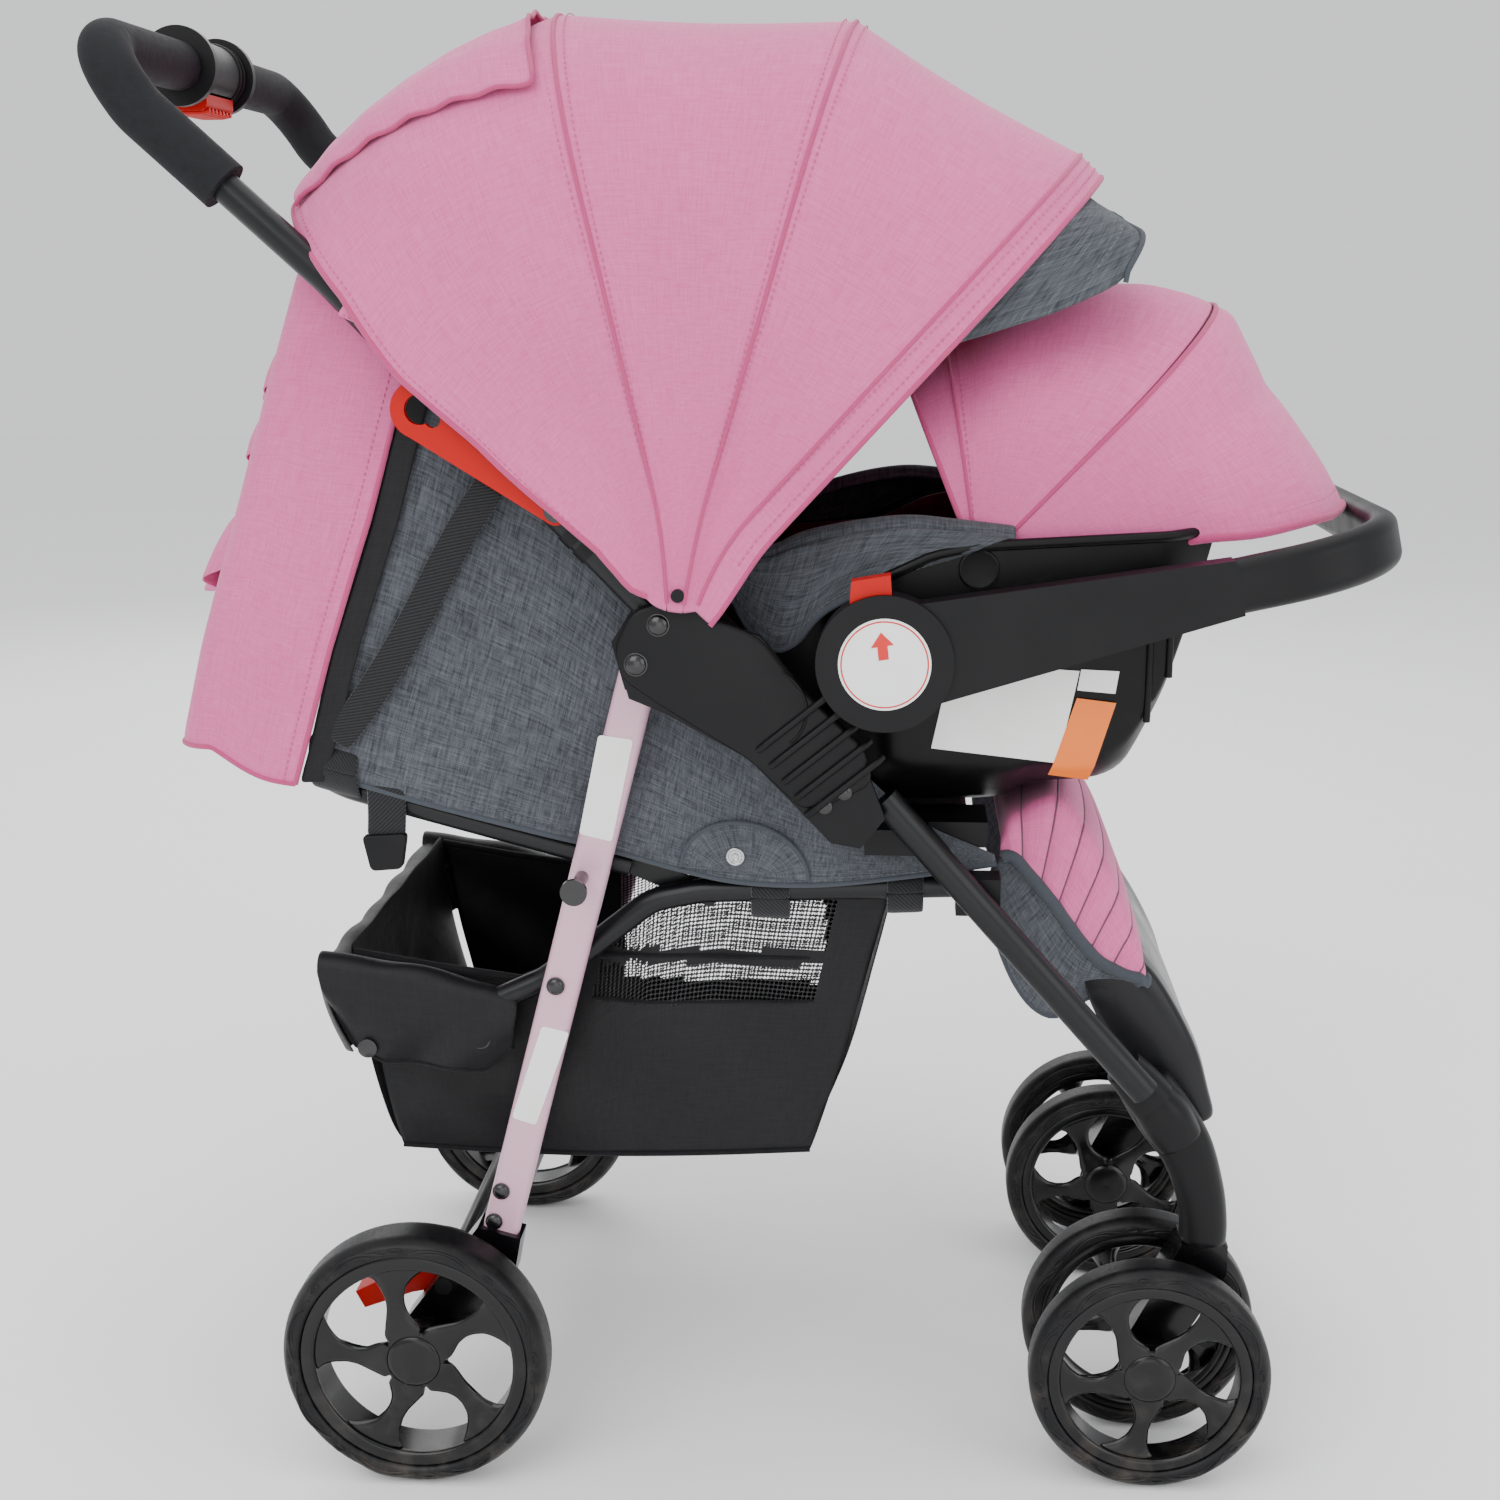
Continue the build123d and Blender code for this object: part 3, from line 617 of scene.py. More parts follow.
def bump(tree, skin, height, strength, distance, under=None):
    """Surface relief, laid over an earlier one where there is one."""
    n = node(tree, "Bump", {"Height": height, "Strength": strength, "Distance": distance})
    if under:
        feed(tree, n, {"Normal": under})
    tree.links.new(n.outputs[0], skin.inputs["Normal"])
    return n.outputs[0]


def woven(name, low, high, on_map=True, fineness=1.0, rough=0.86, sheen=0.25, fold=0.0012,
          weave=0.00018, spread=14.0, painted_shade=0.10):
    """Woven cloth of two yarn shades, darkened in slow patches as painted shade."""
    mat, tree, skin, where = new_material(name, Sheen_Weight=sheen, Sheen_Roughness=0.5,
                                          Specular_IOR_Level=0.25)
    if on_map:
        place = where["UV"]
    else:
        turned = node(tree, "Mapping", {"Vector": where["Object"], "Rotation": (math.pi / 2, 0, 0)})
        place = turned.outputs[0]
    threads = effect(tree, "threads", Vector=place, Fineness=fineness)
    folds = effect(tree, "folds", Vector=where["Object"], Spread=spread)
    yarn = blend_colours(tree, threads["Shade"], low, high)
    # painted shade: the slow patches blend the yarn towards a darker tone of its low yarn
    darker = blend_colours(tree, ramp_between(tree, folds["Shade"], 0.35, 0.65, 0.0, painted_shade), yarn,
                           tuple(c * 0.62 for c in low[:3]) + (1,))
    tree.links.new(darker, skin.inputs["Base Color"])
    tree.links.new(ramp_between(tree, threads["Shade"], 0, 1, rough + 0.06, rough - 0.06),
                   skin.inputs["Roughness"])
    first = bump(tree, skin, folds["Height"], 0.55, fold)
    bump(tree, skin, threads["Height"], 0.6, weave, under=first)
    return mat


def moulded(name, colour, rough, pitch=900.0, skin_depth=0.00005, coat=0.0, scuffed=0.12, dusty=0.0,
            spec=0.5):
    """Moulded or painted surface with grain, uneven gloss, rubbed streaks and some dust."""
    mat, tree, skin, where = new_material(name, Coat_Weight=coat, Coat_Roughness=0.12,
                                          Specular_IOR_Level=spec)
    grain = effect(tree, "grain", Vector=where["Object"], Pitch=pitch)
    worn = effect(tree, "scuffs", Vector=where["Object"])
    pale = tuple(min(1, c * 1.5 + 0.03) for c in colour[:3]) + (1,)
    paint = blend_colours(tree, maths(tree, "MULTIPLY", worn["Mask"], scuffed), colour, pale)
    if dusty:
        dust = effect(tree, "dust", Vector=where["Object"])
        paint = blend_colours(tree, maths(tree, "MULTIPLY", dust["Mask"], dusty), paint,
                              shade_of(150, 140, 126))
    tree.links.new(paint, skin.inputs["Base Color"])
    gloss = ramp_between(tree, grain["Gloss"], 0.3, 0.7, max(0.03, rough - 0.06), rough + 0.06)
    tree.links.new(maths(tree, "ADD", gloss, maths(tree, "MULTIPLY", worn["Mask"], 0.18), True),
                   skin.inputs["Roughness"])
    bump(tree, skin, grain["Height"], 0.4, skin_depth)
    return mat


def foam_skin(name):
    """Closed-cell foam sleeve with small open pores."""
    mat, tree, skin, where = new_material(name, Specular_IOR_Level=0.3)
    pores = node(tree, "TexVoronoi", {"Vector": where["Object"], "Scale": 1300.0})
    lumps = node(tree, "TexNoise", {"Vector": where["Object"], "Scale": 190.0, "Detail": 4.0})
    tone = blend_colours(tree, ramp_between(tree, lumps.outputs["Fac"], 0.35, 0.65),
                         shade_of(9, 11, 13), shade_of(24, 27, 30))
    tree.links.new(tone, skin.inputs["Base Color"])
    tree.links.new(ramp_between(tree, lumps.outputs["Fac"], 0.3, 0.7, 0.72, 0.9), skin.inputs["Roughness"])
    first = bump(tree, skin, lumps.outputs["Fac"], 0.6, 0.0004)
    bump(tree, skin, pores.outputs["Distance"], 0.5, 0.00025, under=first)
    return mat


def tyre_rubber(name):
    """Hard foam tyre: satin side walls with fine turning rings and dust."""
    mat, tree, skin, where = new_material(name, Specular_IOR_Level=0.26)
    rings = node(tree, "TexWave", {"Vector": where["UV"], "Scale": 9.0, "Distortion": 0.3},
                 wave_type="BANDS", bands_direction="Y")
    skin_noise = node(tree, "TexNoise", {"Vector": where["Object"], "Scale": 420.0, "Detail": 4.0})
    dust = effect(tree, "dust", Vector=where["Object"], Height=0.2)
    tone = blend_colours(tree, ramp_between(tree, skin_noise.outputs["Fac"], 0.35, 0.65),
                         shade_of(8, 8, 10), shade_of(18, 18, 20))
    tree.links.new(blend_colours(tree, maths(tree, "MULTIPLY", dust["Mask"], 0.16), tone,
                                 shade_of(140, 130, 118)), skin.inputs["Base Color"])
    tree.links.new(ramp_between(tree, skin_noise.outputs["Fac"], 0.3, 0.7, 0.36, 0.5),
                   skin.inputs["Roughness"])
    first = bump(tree, skin, rings.outputs["Fac"], 0.25, 0.0001)
    bump(tree, skin, skin_noise.outputs["Fac"], 0.35, 0.0001, under=first)
    return mat


def webbing_cloth(name, low, high):
    """Ribbed woven tape: twill bars across its length."""
    mat, tree, skin, where = new_material(name, Sheen_Weight=0.2, Specular_IOR_Level=0.3)
    bars = node(tree, "TexWave", {"Vector": where["UV"], "Scale": 220.0, "Distortion": 1.2,
                                  "Detail": 2.0, "Detail Scale": 3.0}, wave_type="BANDS",
                bands_direction="DIAGONAL")
    edge = node(tree, "TexNoise", {"Vector": where["UV"], "Scale": 500.0, "Detail": 3.0})
    tone = blend_colours(tree, bars.outputs["Fac"], low, high)
    tree.links.new(blend_colours(tree, ramp_between(tree, edge.outputs["Fac"], 0.45, 0.8, 0, 0.35), tone, high),
                   skin.inputs["Base Color"])
    tree.links.new(ramp_between(tree, bars.outputs["Fac"], 0, 1, 0.85, 0.62), skin.inputs["Roughness"])
    bump(tree, skin, bars.outputs["Fac"], 0.6, 0.0003)
    return mat


def open_mesh(name, colour, pitch=310.0):
    """See-through net: staggered round holes in a thin cloth."""
    mat, tree, skin, where = new_material(name)
    holes = node(tree, "TexVoronoi", {"Vector": where["UV"], "Scale": pitch, "Randomness": 0.0},
                 voronoi_dimensions="2D")
    wall = ramp_between(tree, holes.outputs["Distance"], 0.42, 0.47)
    tree.links.new(wall, skin.inputs["Alpha"])
    yarn = node(tree, "TexNoise", {"Vector": where["UV"], "Scale": 900.0, "Detail": 2.0})
    tree.links.new(blend_colours(tree, yarn.outputs["Fac"], colour, tuple(c * 2 for c in colour[:3]) + (1,)),
                   skin.inputs["Base Color"])
    tree.links.new(ramp_between(tree, yarn.outputs["Fac"], 0.3, 0.7, 0.6, 0.8), skin.inputs["Roughness"])
    bump(tree, skin, holes.outputs["Distance"], 0.4, 0.0003)
    return mat


def bright_metal(name, colour, rough):
    """Pressed or plated metal with fine brush marks."""
    mat, tree, skin, where = new_material(name, Metallic=1.0)
    marks = node(tree, "TexNoise", {"Vector": scaled(tree, where["Object"], 300, 300, 2400), "Scale": 1.0,
                                    "Detail": 3.0})
    tree.links.new(blend_colours(tree, ramp_between(tree, marks.outputs["Fac"], 0.35, 0.65), colour,
                                 tuple(c * 0.72 for c in colour[:3]) + (1,)), skin.inputs["Base Color"])
    tree.links.new(ramp_between(tree, marks.outputs["Fac"], 0.3, 0.7, rough, rough + 0.16),
                   skin.inputs["Roughness"])
    bump(tree, skin, marks.outputs["Fac"], 0.2, 0.00005)
    return mat


def paper_label(name, colour, edge):
    """Blank coated paper, a little yellowed towards one side."""
    mat, tree, skin, where = new_material(name)
    fibre = node(tree, "TexNoise", {"Vector": where["Object"], "Scale": 240.0, "Detail": 4.0})
    slow = node(tree, "TexNoise", {"Vector": where["Object"], "Scale": 30.0, "Detail": 2.0})
    tree.links.new(blend_colours(tree, ramp_between(tree, slow.outputs["Fac"], 0.4, 0.7, 0, 0.5), colour, edge),
                   skin.inputs["Base Color"])
    tree.links.new(ramp_between(tree, fibre.outputs["Fac"], 0.3, 0.7, 0.3, 0.45), skin.inputs["Roughness"])
    bump(tree, skin, fibre.outputs["Fac"], 0.15, 0.0001)
    return mat


def plain_floor():
    """Even pale floor of the studio."""
    mat, tree, skin, where = new_material("pale_floor", Roughness=0.75, Specular_IOR_Level=0.1)
    speck = node(tree, "TexNoise", {"Vector": where["Object"], "Scale": 3.0, "Detail": 2.0})
    tree.links.new(blend_colours(tree, speck.outputs["Fac"], shade_of(250, 250, 250), shade_of(254, 254, 254)),
                   skin.inputs["Base Color"])
    return mat


# Each cloth's shade amount sets how far its slow patches are darkened as painted shade.
pink = woven("pink_canvas", shade_of(206, 88, 142), shade_of(222, 114, 164), fineness=1.7, rough=0.84, sheen=0.18,
             painted_shade=0.2, weave=0.00012)
pink_dark = woven("pink_piping", shade_of(178, 56, 108), shade_of(196, 78, 128), fineness=1.8, fold=0.0)
grey = woven("grey_heather", shade_of(34, 37, 42), shade_of(98, 102, 108), fineness=1.4, rough=0.9, sheen=0.1,
             painted_shade=0.3)
grey_pad = woven("grey_heather_pad", shade_of(34, 37, 42), shade_of(98, 102, 108), on_map=False, fineness=1.4,
                 rough=0.9, sheen=0.1)
grey_edge = woven("grey_binding", shade_of(46, 50, 56), shade_of(80, 85, 92), fineness=1.8, fold=0.0, sheen=0.1)
burgundy = woven("burgundy_lining", shade_of(46, 8, 20), shade_of(82, 22, 40), on_map=False, rough=0.88, sheen=0.1)
black_nylon = woven("black_ripstop", shade_of(6, 6, 8), shade_of(18, 18, 21), rough=0.5, sheen=0.04,
                    fold=0.0034, spread=20.0, weave=0.0001, fineness=1.6)
black_cotton = woven("black_lining", shade_of(7, 7, 9), shade_of(18, 18, 21), on_map=False, sheen=0.05)
net = open_mesh("black_net", shade_of(14, 14, 16))
webbing = webbing_cloth("black_webbing", shade_of(7, 7, 9), shade_of(28, 29, 32))
thread_pink = woven("pink_thread", shade_of(190, 74, 124), shade_of(212, 100, 150), fold=0.0)
thread_dark = woven("dark_thread", shade_of(96, 58, 78), shade_of(122, 80, 100), fold=0.0)
thread_grey = woven("grey_thread", shade_of(60, 64, 70), shade_of(104, 108, 114), fold=0.0)
tube_paint = moulded("black_tube_paint", shade_of(12, 13, 15), 0.38, pitch=1600, coat=0.08, scuffed=0.2, spec=0.28)
plastic = moulded("black_plastic_satin", shade_of(11, 11, 13), 0.44, pitch=1100, skin_depth=0.00008, spec=0.22)
shell_black = moulded("shell_plastic_black", shade_of(7, 7, 8), 0.42, pitch=1000, skin_depth=0.00008, spec=0.2)
gloss = moulded("gloss_black_plastic", shade_of(6, 6, 8), 0.24, pitch=500, skin_depth=0.00002, coat=0.14,
                dusty=0.1, spec=0.3)
gloss_grey = moulded("gloss_charcoal_plastic", shade_of(20, 20, 22), 0.32, pitch=500, skin_depth=0.00002,
                     coat=0.08, spec=0.25)
red = moulded("red_plastic", shade_of(178, 10, 2), 0.36, pitch=900, spec=0.22)
leg_paint = moulded("pale_pink_paint", shade_of(206, 162, 180), 0.3, pitch=1500, coat=0.3, scuffed=0.3)
foam = foam_skin("handle_foam")
rubber = tyre_rubber("tyre_rubber")
steel = bright_metal("snap_steel", (0.55, 0.56, 0.58, 1), 0.25)
dark_steel = moulded("black_rivet_steel", shade_of(10, 10, 12), 0.24, pitch=1500, coat=0.3, scuffed=0.5)
label_white = paper_label("blank_white_label", shade_of(236, 237, 236), shade_of(226, 224, 216))
label_orange = paper_label("blank_orange_label", shade_of(240, 120, 24), shade_of(228, 106, 20))
label_red = paper_label("plain_red_print", shade_of(206, 24, 20), shade_of(190, 20, 16))


# ---- hooped cloth --------------------------------------------------------------------------
def hoop_spot(hub, degrees, radius, half, corner, start, v, belly=0.0):
    """Spot on an arch of cloth: v runs from the near hem over the top to the far hem."""
    reach = radius - corner - start
    arc = corner * math.pi / 2
    top = 2 * (half - corner)
    total = 2 * reach + 2 * arc + top
    s = (0.5 - abs(v - 0.5)) * total
    if s < reach:
        y, r = half, start + s
        y -= belly * math.sin(math.pi * min(1, r / (radius - corner)) ** 0.8)
    elif s < reach + arc:
        a = (s - reach) / corner
        y, r = half - corner + corner * math.cos(a), radius - corner + corner * math.sin(a)
    else:
        y, r = half - corner - (s - reach - arc), radius
    a = math.radians(degrees)
    side = -1 if v < 0.5 else 1
    x, z = hub[0] + r * math.cos(a), hub[1] + r * math.sin(a)
    if hub == canopy_hub:
        lobe = 17 * max(0.0, 1 - r / 64) ** 2
        low = math.radians(-90 - (degrees - 80) * 0.95)
        x += lobe * math.cos(low)
        z += lobe * math.sin(low)
        y += 3.4 * max(0.0, 1 - r / 70)
    return x, side * y, z, r


def canopy_spot(degrees, v):
    """Spot on the canopy's own arch."""
    return hoop_spot(canopy_hub, degrees, canopy_radius, canopy_half, canopy_corner, 4, v)


def rear_hem_angle(r):
    """Angle of the canopy's rear hem at a distance from the hub."""
    return table([(0, 172), (20, 168), (35, 158), (55, 151), (85, 147), (150, 143), (209, 142), (262, 138.4),
                  (300, 137.4), (345, 136.2)], r)


def canopy_rear_spot(u, v):
    """u runs from the rear hem to the rear bow."""
    hem_radius = 337
    radius = hem_radius + (canopy_radius - hem_radius) * u
    corner = canopy_corner - 14 * (1 - u)
    r = hoop_spot(canopy_hub, rear_bow, radius, canopy_half, corner, 4, v)[3]
    angle = rear_hem_angle(r) * (1 - u) + rear_bow * u
    x, y, z, r = hoop_spot(canopy_hub, angle, radius, canopy_half, corner, 4, v, belly=9 * math.sin(math.pi * u))
    ripple = 1.6 * math.sin(u * 9 + v * 23) * math.sin(math.pi * u) * min(1, r / 120)
    sag = 3.0 * math.sin(math.pi * u) * min(1, r / 300)
    return pt(x, y + (ripple if abs(y) > 120 else 0), z - (sag if abs(y) < 150 else 0))


def wedge_spot(first, last, sag_top, belly):
    """Cloth stretched straight from bow to bow, a little hollow between them."""
    middle = math.radians((first + last) / 2)
    half_wedge = math.radians(abs(first - last) / 2)

    def place(u, v):
        angle = first + (last - first) * u
        chord = math.cos(half_wedge) / math.cos(math.radians(angle) - middle)
        radius = canopy_radius * chord - sag_top * math.sin(math.pi * u)
        return pt(*hoop_spot(canopy_hub, angle, radius, canopy_half, canopy_corner, 4, v,
                             belly=belly * math.sin(math.pi * u))[:3])
    return place


def rim_offset(r):
    """How far the front band reaches ahead of the front bow."""
    return 19 * math.sqrt(max(0.0, 1 - max(0.0, (40 - r) / 48) ** 2))


def canopy_front_spot(u, v):
    """u runs from the middle bow to the band's front edge; the band lies past u = 0.8."""
    if u <= 0.8:
        return wedge_spot(middle_bow, front_bow, 3.0, 7.0)(u / 0.8, v)
    x, y, z, r = canopy_spot(front_bow, v)
    band = (u - 0.8) / 0.2
    step = rim_offset(r) * band
    a = math.radians(front_bow)
    lift = 3.0 * math.sin(band * math.pi / 2)
    return pt(x + step * math.sin(a) - lift * 0.2, y * (1 - 0.012 * band), z - step * math.cos(a))


def bow_run(angle, start, out, drop=0.0, steps=90):
    """Run over the canopy along a bow, for a seam or its stitches; drop lowers its top."""
    return [pt(*hoop_spot(canopy_hub, angle, canopy_radius - drop + out, canopy_half + out, canopy_corner + out,
                          start, i / steps)[:3]) for i in range(steps + 1)]


def build_canopy():
    """Rear, middle and front cloths, the seams over the bows, and the front band."""
    size = (0.24, 1.02)
    rear, area = cloth("canopy_rear_cloth", 26, 96, canopy_rear_spot, size)
    finish(rear, "frame", pink, "pink_cloth", stands_for=("canopy_rear_panel",))
    piping = trim("canopy_rear_piping", edge_run(canopy_rear_spot, 120, u=0.0), 0.0017, "frame", pink_dark,
                  "pink_cloth")
    run = [p + out_from_hub(p, 0.0009) for p in edge_run(canopy_rear_spot, 120, u=0.035)[3:118]]
    thread = stitches("canopy_rear_thread", run, thread_pink, "frame", slot="pink_cloth")
    declare(rear, area, size)

    size = (0.188, 1.03)
    middle, area = cloth("canopy_middle_cloth", 22, 96, wedge_spot(rear_bow, middle_bow, 3.0, 7.0), size)
    finish(middle, None, pink, "pink_cloth", stands_for=("canopy_mid_panel",))
    blend_over(middle)
    declare(middle, area, size)

    size = (0.184, 1.03)
    front, area = cloth("canopy_front_cloth", 30, 96, canopy_front_spot, size)
    finish(front, None, pink, "pink_cloth", stands_for=("canopy_front_panel",))
    blend_over(front)

    for name, angle, body, drop, rows in (("rear", rear_bow, "frame", 1.2, "ab"),
                                          ("middle", middle_bow, "canopy_mid", 1.2, "ab"),
                                          ("front", front_bow, "canopy_front", 0, "b")):
        trim(f"canopy_{name}_seam", bow_run(angle, 8, 0.5), 0.0013, body, pink_dark, "pink_cloth")
        for row in rows:
            shift = 1.1 if row == "a" else -1.1
            stitches(f"canopy_{name}_seam_thread_{row}", bow_run(angle + shift, 40, 0.9, drop), thread_pink, body,
                     slot="pink_cloth")
    band = trim("canopy_band_piping", edge_run(canopy_front_spot, 120, u=1.0), 0.0017, "canopy_front", pink_dark,
                "pink_cloth")
    run = [p + out_from_hub(p, 0.0011) for p in edge_run(canopy_front_spot, 120, u=0.93)[4:117]]
    thread = stitches("canopy_band_thread", run, thread_pink, "canopy_front", slot="pink_cloth")
    declare(front, area, size)


def out_from_hub(p, reach):
    """Step outward from the arch's inside."""
    hub = pt(canopy_hub[0], 0, canopy_hub[1])
    away = Vector(((p.x - hub.x), p.y * 1.6, (p.z - hub.z)))
    if abs(p.y) > 0.19:
        away = Vector((0, p.y, 0))
    return away.normalized() * reach


def blend_over(o):
    """Put the cloth's place into its mesh."""
    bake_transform(o)


def build_visor():
    """Grey peak ahead of the front bow."""
    def spot(u, v):
        tip = 34.8 + 6.6 * math.sin(math.pi * v) ** 0.6
        angle = 47.5 + (tip - 47.5) * u
        start = table([(0, 200), (0.33, 208), (0.6, 236), (0.87, 274), (1, 317)], u)
        radius = 345 - 9 * math.sin(math.pi * u) - 3 * u
        x, y, z, _ = hoop_spot(canopy_hub, angle, radius, 203 - 8 * u, 104 - 80 * u, start, v)
        wave = 1.2 * math.sin(v * 31) * u
        return pt(x + wave, y, z)
    size = (0.088, 0.67)
    visor, area = cloth("canopy_visor_cloth", 12, 80, spot, size)
    finish(visor, "canopy_front", grey, "grey_cloth", stands_for=("canopy_visor",))
    piping = trim("visor_piping", edge_run(spot, 100, u=1.0), 0.0016, "canopy_front", grey_edge, "grey_cloth")
    run = [p + out_from_hub(p, 0.0012) for p in edge_run(spot, 100, u=0.9)[3:98]]
    thread = stitches("visor_thread", run, thread_grey, "canopy_front", slot="grey_cloth")
    declare(visor, area, size)


def build_window_flap():
    """Second layer over the rear of the canopy, gathered along its front edge."""
    def spot(u, v):
        edge = 0.337 - 0.045 * u ** 1.2
        base = canopy_rear_spot(0.03 + 0.90 * u, edge + (1 - 2 * edge) * v)
        rim = math.sin(math.pi * v) ** 0.35 if 0 < v < 1 else 0.0
        rise = 0.0034 + 0.0075 * rim * math.sin(math.pi * min(1, 0.08 + u)) ** 0.7 + 0.0032 * u ** 3
        pucker = 0.0016 * math.sin(v * 74 + 2 * u) * (u ** 5)
        pucker += 0.0011 * math.sin(u * 38) * ((1 - v) ** 8 + v ** 8)
        hub = pt(canopy_hub[0], 0, canopy_hub[1])
        away = Vector((base.x - hub.x, base.y * 0.8, base.z - hub.z)).normalized()
        return base + away * (rise + pucker)
    size = (0.2, 0.34)
    flap, area = cloth("canopy_window_flap", 22, 40, spot, size, 0.0012)
    finish(flap, "frame", pink, "pink_cloth")
    around = edge_run(spot, 30, v=0) + edge_run(spot, 40, u=1)[1:] + edge_run(spot, 30, v=1)[-2::-1]
    piping = trim("window_flap_piping", around, 0.0015, "frame", pink_dark, "pink_cloth")
    declare(flap, area, size)


def build_hook_patch():
    """Stitched hook-tape patch low on each side of the canopy."""
    corners = [Vector(c) for c in ((-252, 766), (-239, 783), (-210, 760), (-220, 751))]
    for side, tag in both_sides:
        def spot(u, v):
            p = corners[0].lerp(corners[1], v).lerp(corners[3].lerp(corners[2], v), u)
            return pt(p.x, side * (211.9 - 4 * math.sin(math.pi * min(1, max(0, (p.x + 262) / 70)))), p.y)
        patch, area = cloth(f"canopy_hook_patch_{tag}", 8, 6, spot, (0.037, 0.021), 0.0011)
        finish(patch, "frame", pink, "pink_cloth")
        outline = [spot(u, v) + Vector((0, side * 0.0008, 0)) for u, v in
                   [(0.06, 0.08), (0.94, 0.08), (0.94, 0.92), (0.06, 0.92), (0.06, 0.08)]]
        thread = stitches(f"canopy_hook_patch_thread_{tag}", outline, thread_pink, "frame", pitch=0.0034,
                          slot="pink_cloth")
        declare(patch, area, (0.038, 0.022))


# ---- carrier hood --------------------------------------------------------------------------
def hood_radius(angle):
    """Distance of the hood's cloth from its pivot, from the back hem to the front edge."""
    return table([(4, 238), (12, 228), (20, 218), (30, 209), (38, 213), (43, 217), (50, 208), (58, 196),
                  (75, 162), (94, 128), (111, 118)], angle)


def hood_spot(first, last, start_low, start_high, half_low, half_high, gather=0.0):
    """Cloth of the hood between two angles, gathered at the first."""
    def place(u, v):
        angle = first + (last - first) * u
        radius = hood_radius(angle)
        half = half_low + (half_high - half_low) * u
        start = start_low + (start_high - start_low) * u
        corner = min(95, radius * 0.5)
        x, y, z, _ = hoop_spot(hood_pivot, angle, radius, half, corner, start, v)
        fold = gather * math.sin(v * 55) * (1 - u) ** 2
        return pt(x + fold, y + fold * 0.6, z + fold * 0.5)
    return place


def build_hood():
    """Two cloths of the carrier's hood, the seam over its bow, and the front band."""
    rear_spot = hood_spot(7, hood_bow, 40, 14, 176, 173, 1.6)
    size = (0.165, 0.68)
    rear, area = cloth("hood_rear_cloth", 26, 84, rear_spot, size)
    finish(rear, "carrier", pink, "pink_cloth", stands_for=("hood_rear",))
    hem = trim("hood_rear_hem", edge_run(rear_spot, 100, u=0.0), 0.0026, "carrier", pink_dark, "pink_cloth")
    radius, out = hood_radius(hood_bow), 0.6
    seam = [pt(*hoop_spot(hood_pivot, hood_bow, radius + out, 173 + out, min(95, radius * 0.5), 14, i / 70)[:3])
            for i in range(71)]
    trim("hood_bow_seam", seam, 0.0014, "carrier", pink_dark, "pink_cloth")
    run = [p + Vector((0.0002, 0.0, 0.0008)) for p in edge_run(rear_spot, 90, u=0.07)]
    thread = stitches("hood_rear_thread", run, thread_pink, "carrier", slot="pink_cloth")
    declare(rear, area, size)

    front_spot = hood_spot(hood_bow + 0.5, 112, 14, 8, 173, 168)
    size = (0.195, 0.62)
    front, area = cloth("hood_front_cloth", 34, 76, front_spot, size)
    finish(front, None, pink, "pink_cloth", stands_for=("hood_front",))
    blend_over(front)
    edge = trim("hood_band_piping", edge_run(front_spot, 90, u=1.0), 0.0018, "hood", pink_dark, "pink_cloth")
    run = [p + hood_out(p, 0.0008) for p in edge_run(front_spot, 90, u=0.80)]
    trim("hood_band_seam", run, 0.0011, "hood", pink_dark, "pink_cloth")
    run = [p + hood_out(p, 0.0010) for p in edge_run(front_spot, 90, u=0.76)[3:88]]
    thread = stitches("hood_band_thread", run, thread_pink, "hood", slot="pink_cloth")
    declare(front, area, size)


def hood_out(p, reach):
    """Step outward from the hood's inside."""
    hub = pt(hood_pivot[0], 0, hood_pivot[1])
    if abs(p.y) > 0.162:
        return Vector((0, math.copysign(reach, p.y), 0))
    return Vector((p.x - hub.x, p.y, p.z - hub.z)).normalized() * reach


# ---- head end ------------------------------------------------------------------------------
def wall_rear_x(z):
    """Where the head wall's back stands at a height."""
    return table([(474, -386), (496, -385), (560, -368), (650, -338), (725, -314), (790, -292), (812, -284)], z)


def wall_front_x(z):
    """Where the head wall's side edge stands at a height."""
    return table([(469, -307), (500, -297), (557, -280), (640, -250), (700, -232), (728, -223), (770, -214),
                  (800, -232)], z)


def wall_spot(u, w):
    """u goes from the near front edge round the back to the far front edge; w goes up."""
    near = min(u, 1 - u)
    side = -1 if u < 0.5 else 1
    z_back = 494 + (792 - 494) * w
    flat_share = 0.16
    round_share = 0.24
    if near <= flat_share:
        t = near / flat_share
        z_front = 470 + (790 - 470) * w
        z = z_front + (z_back - z_front) * t - 5 * (1 - w) * math.sin(math.pi * t)
        front, rear = wall_front_x(z), wall_rear_x(z) + 24
        x = front + (rear - front) * t
        y = 168.5 + 2.6 * math.sin(math.pi * t) * (0.4 + 0.6 * math.sin(math.pi * w))
        y += 0.9 * math.sin(w * 17 + t * 5)
    elif near <= round_share:
        t = (near - flat_share) / (round_share - flat_share) * math.pi / 2
        z = z_back
        x = wall_rear_x(z) + 24 - 24 * math.sin(t)
        y = 144.5 + 24 * math.cos(t)
    else:
        t = (near - round_share) / (0.5 - round_share)
        z = z_back
        x = wall_rear_x(z) - 4 * math.sin(math.pi * t / 2) * math.sin(math.pi * w)
        y = 144.5 * (1 - t)
    return pt(x, side * y, z)


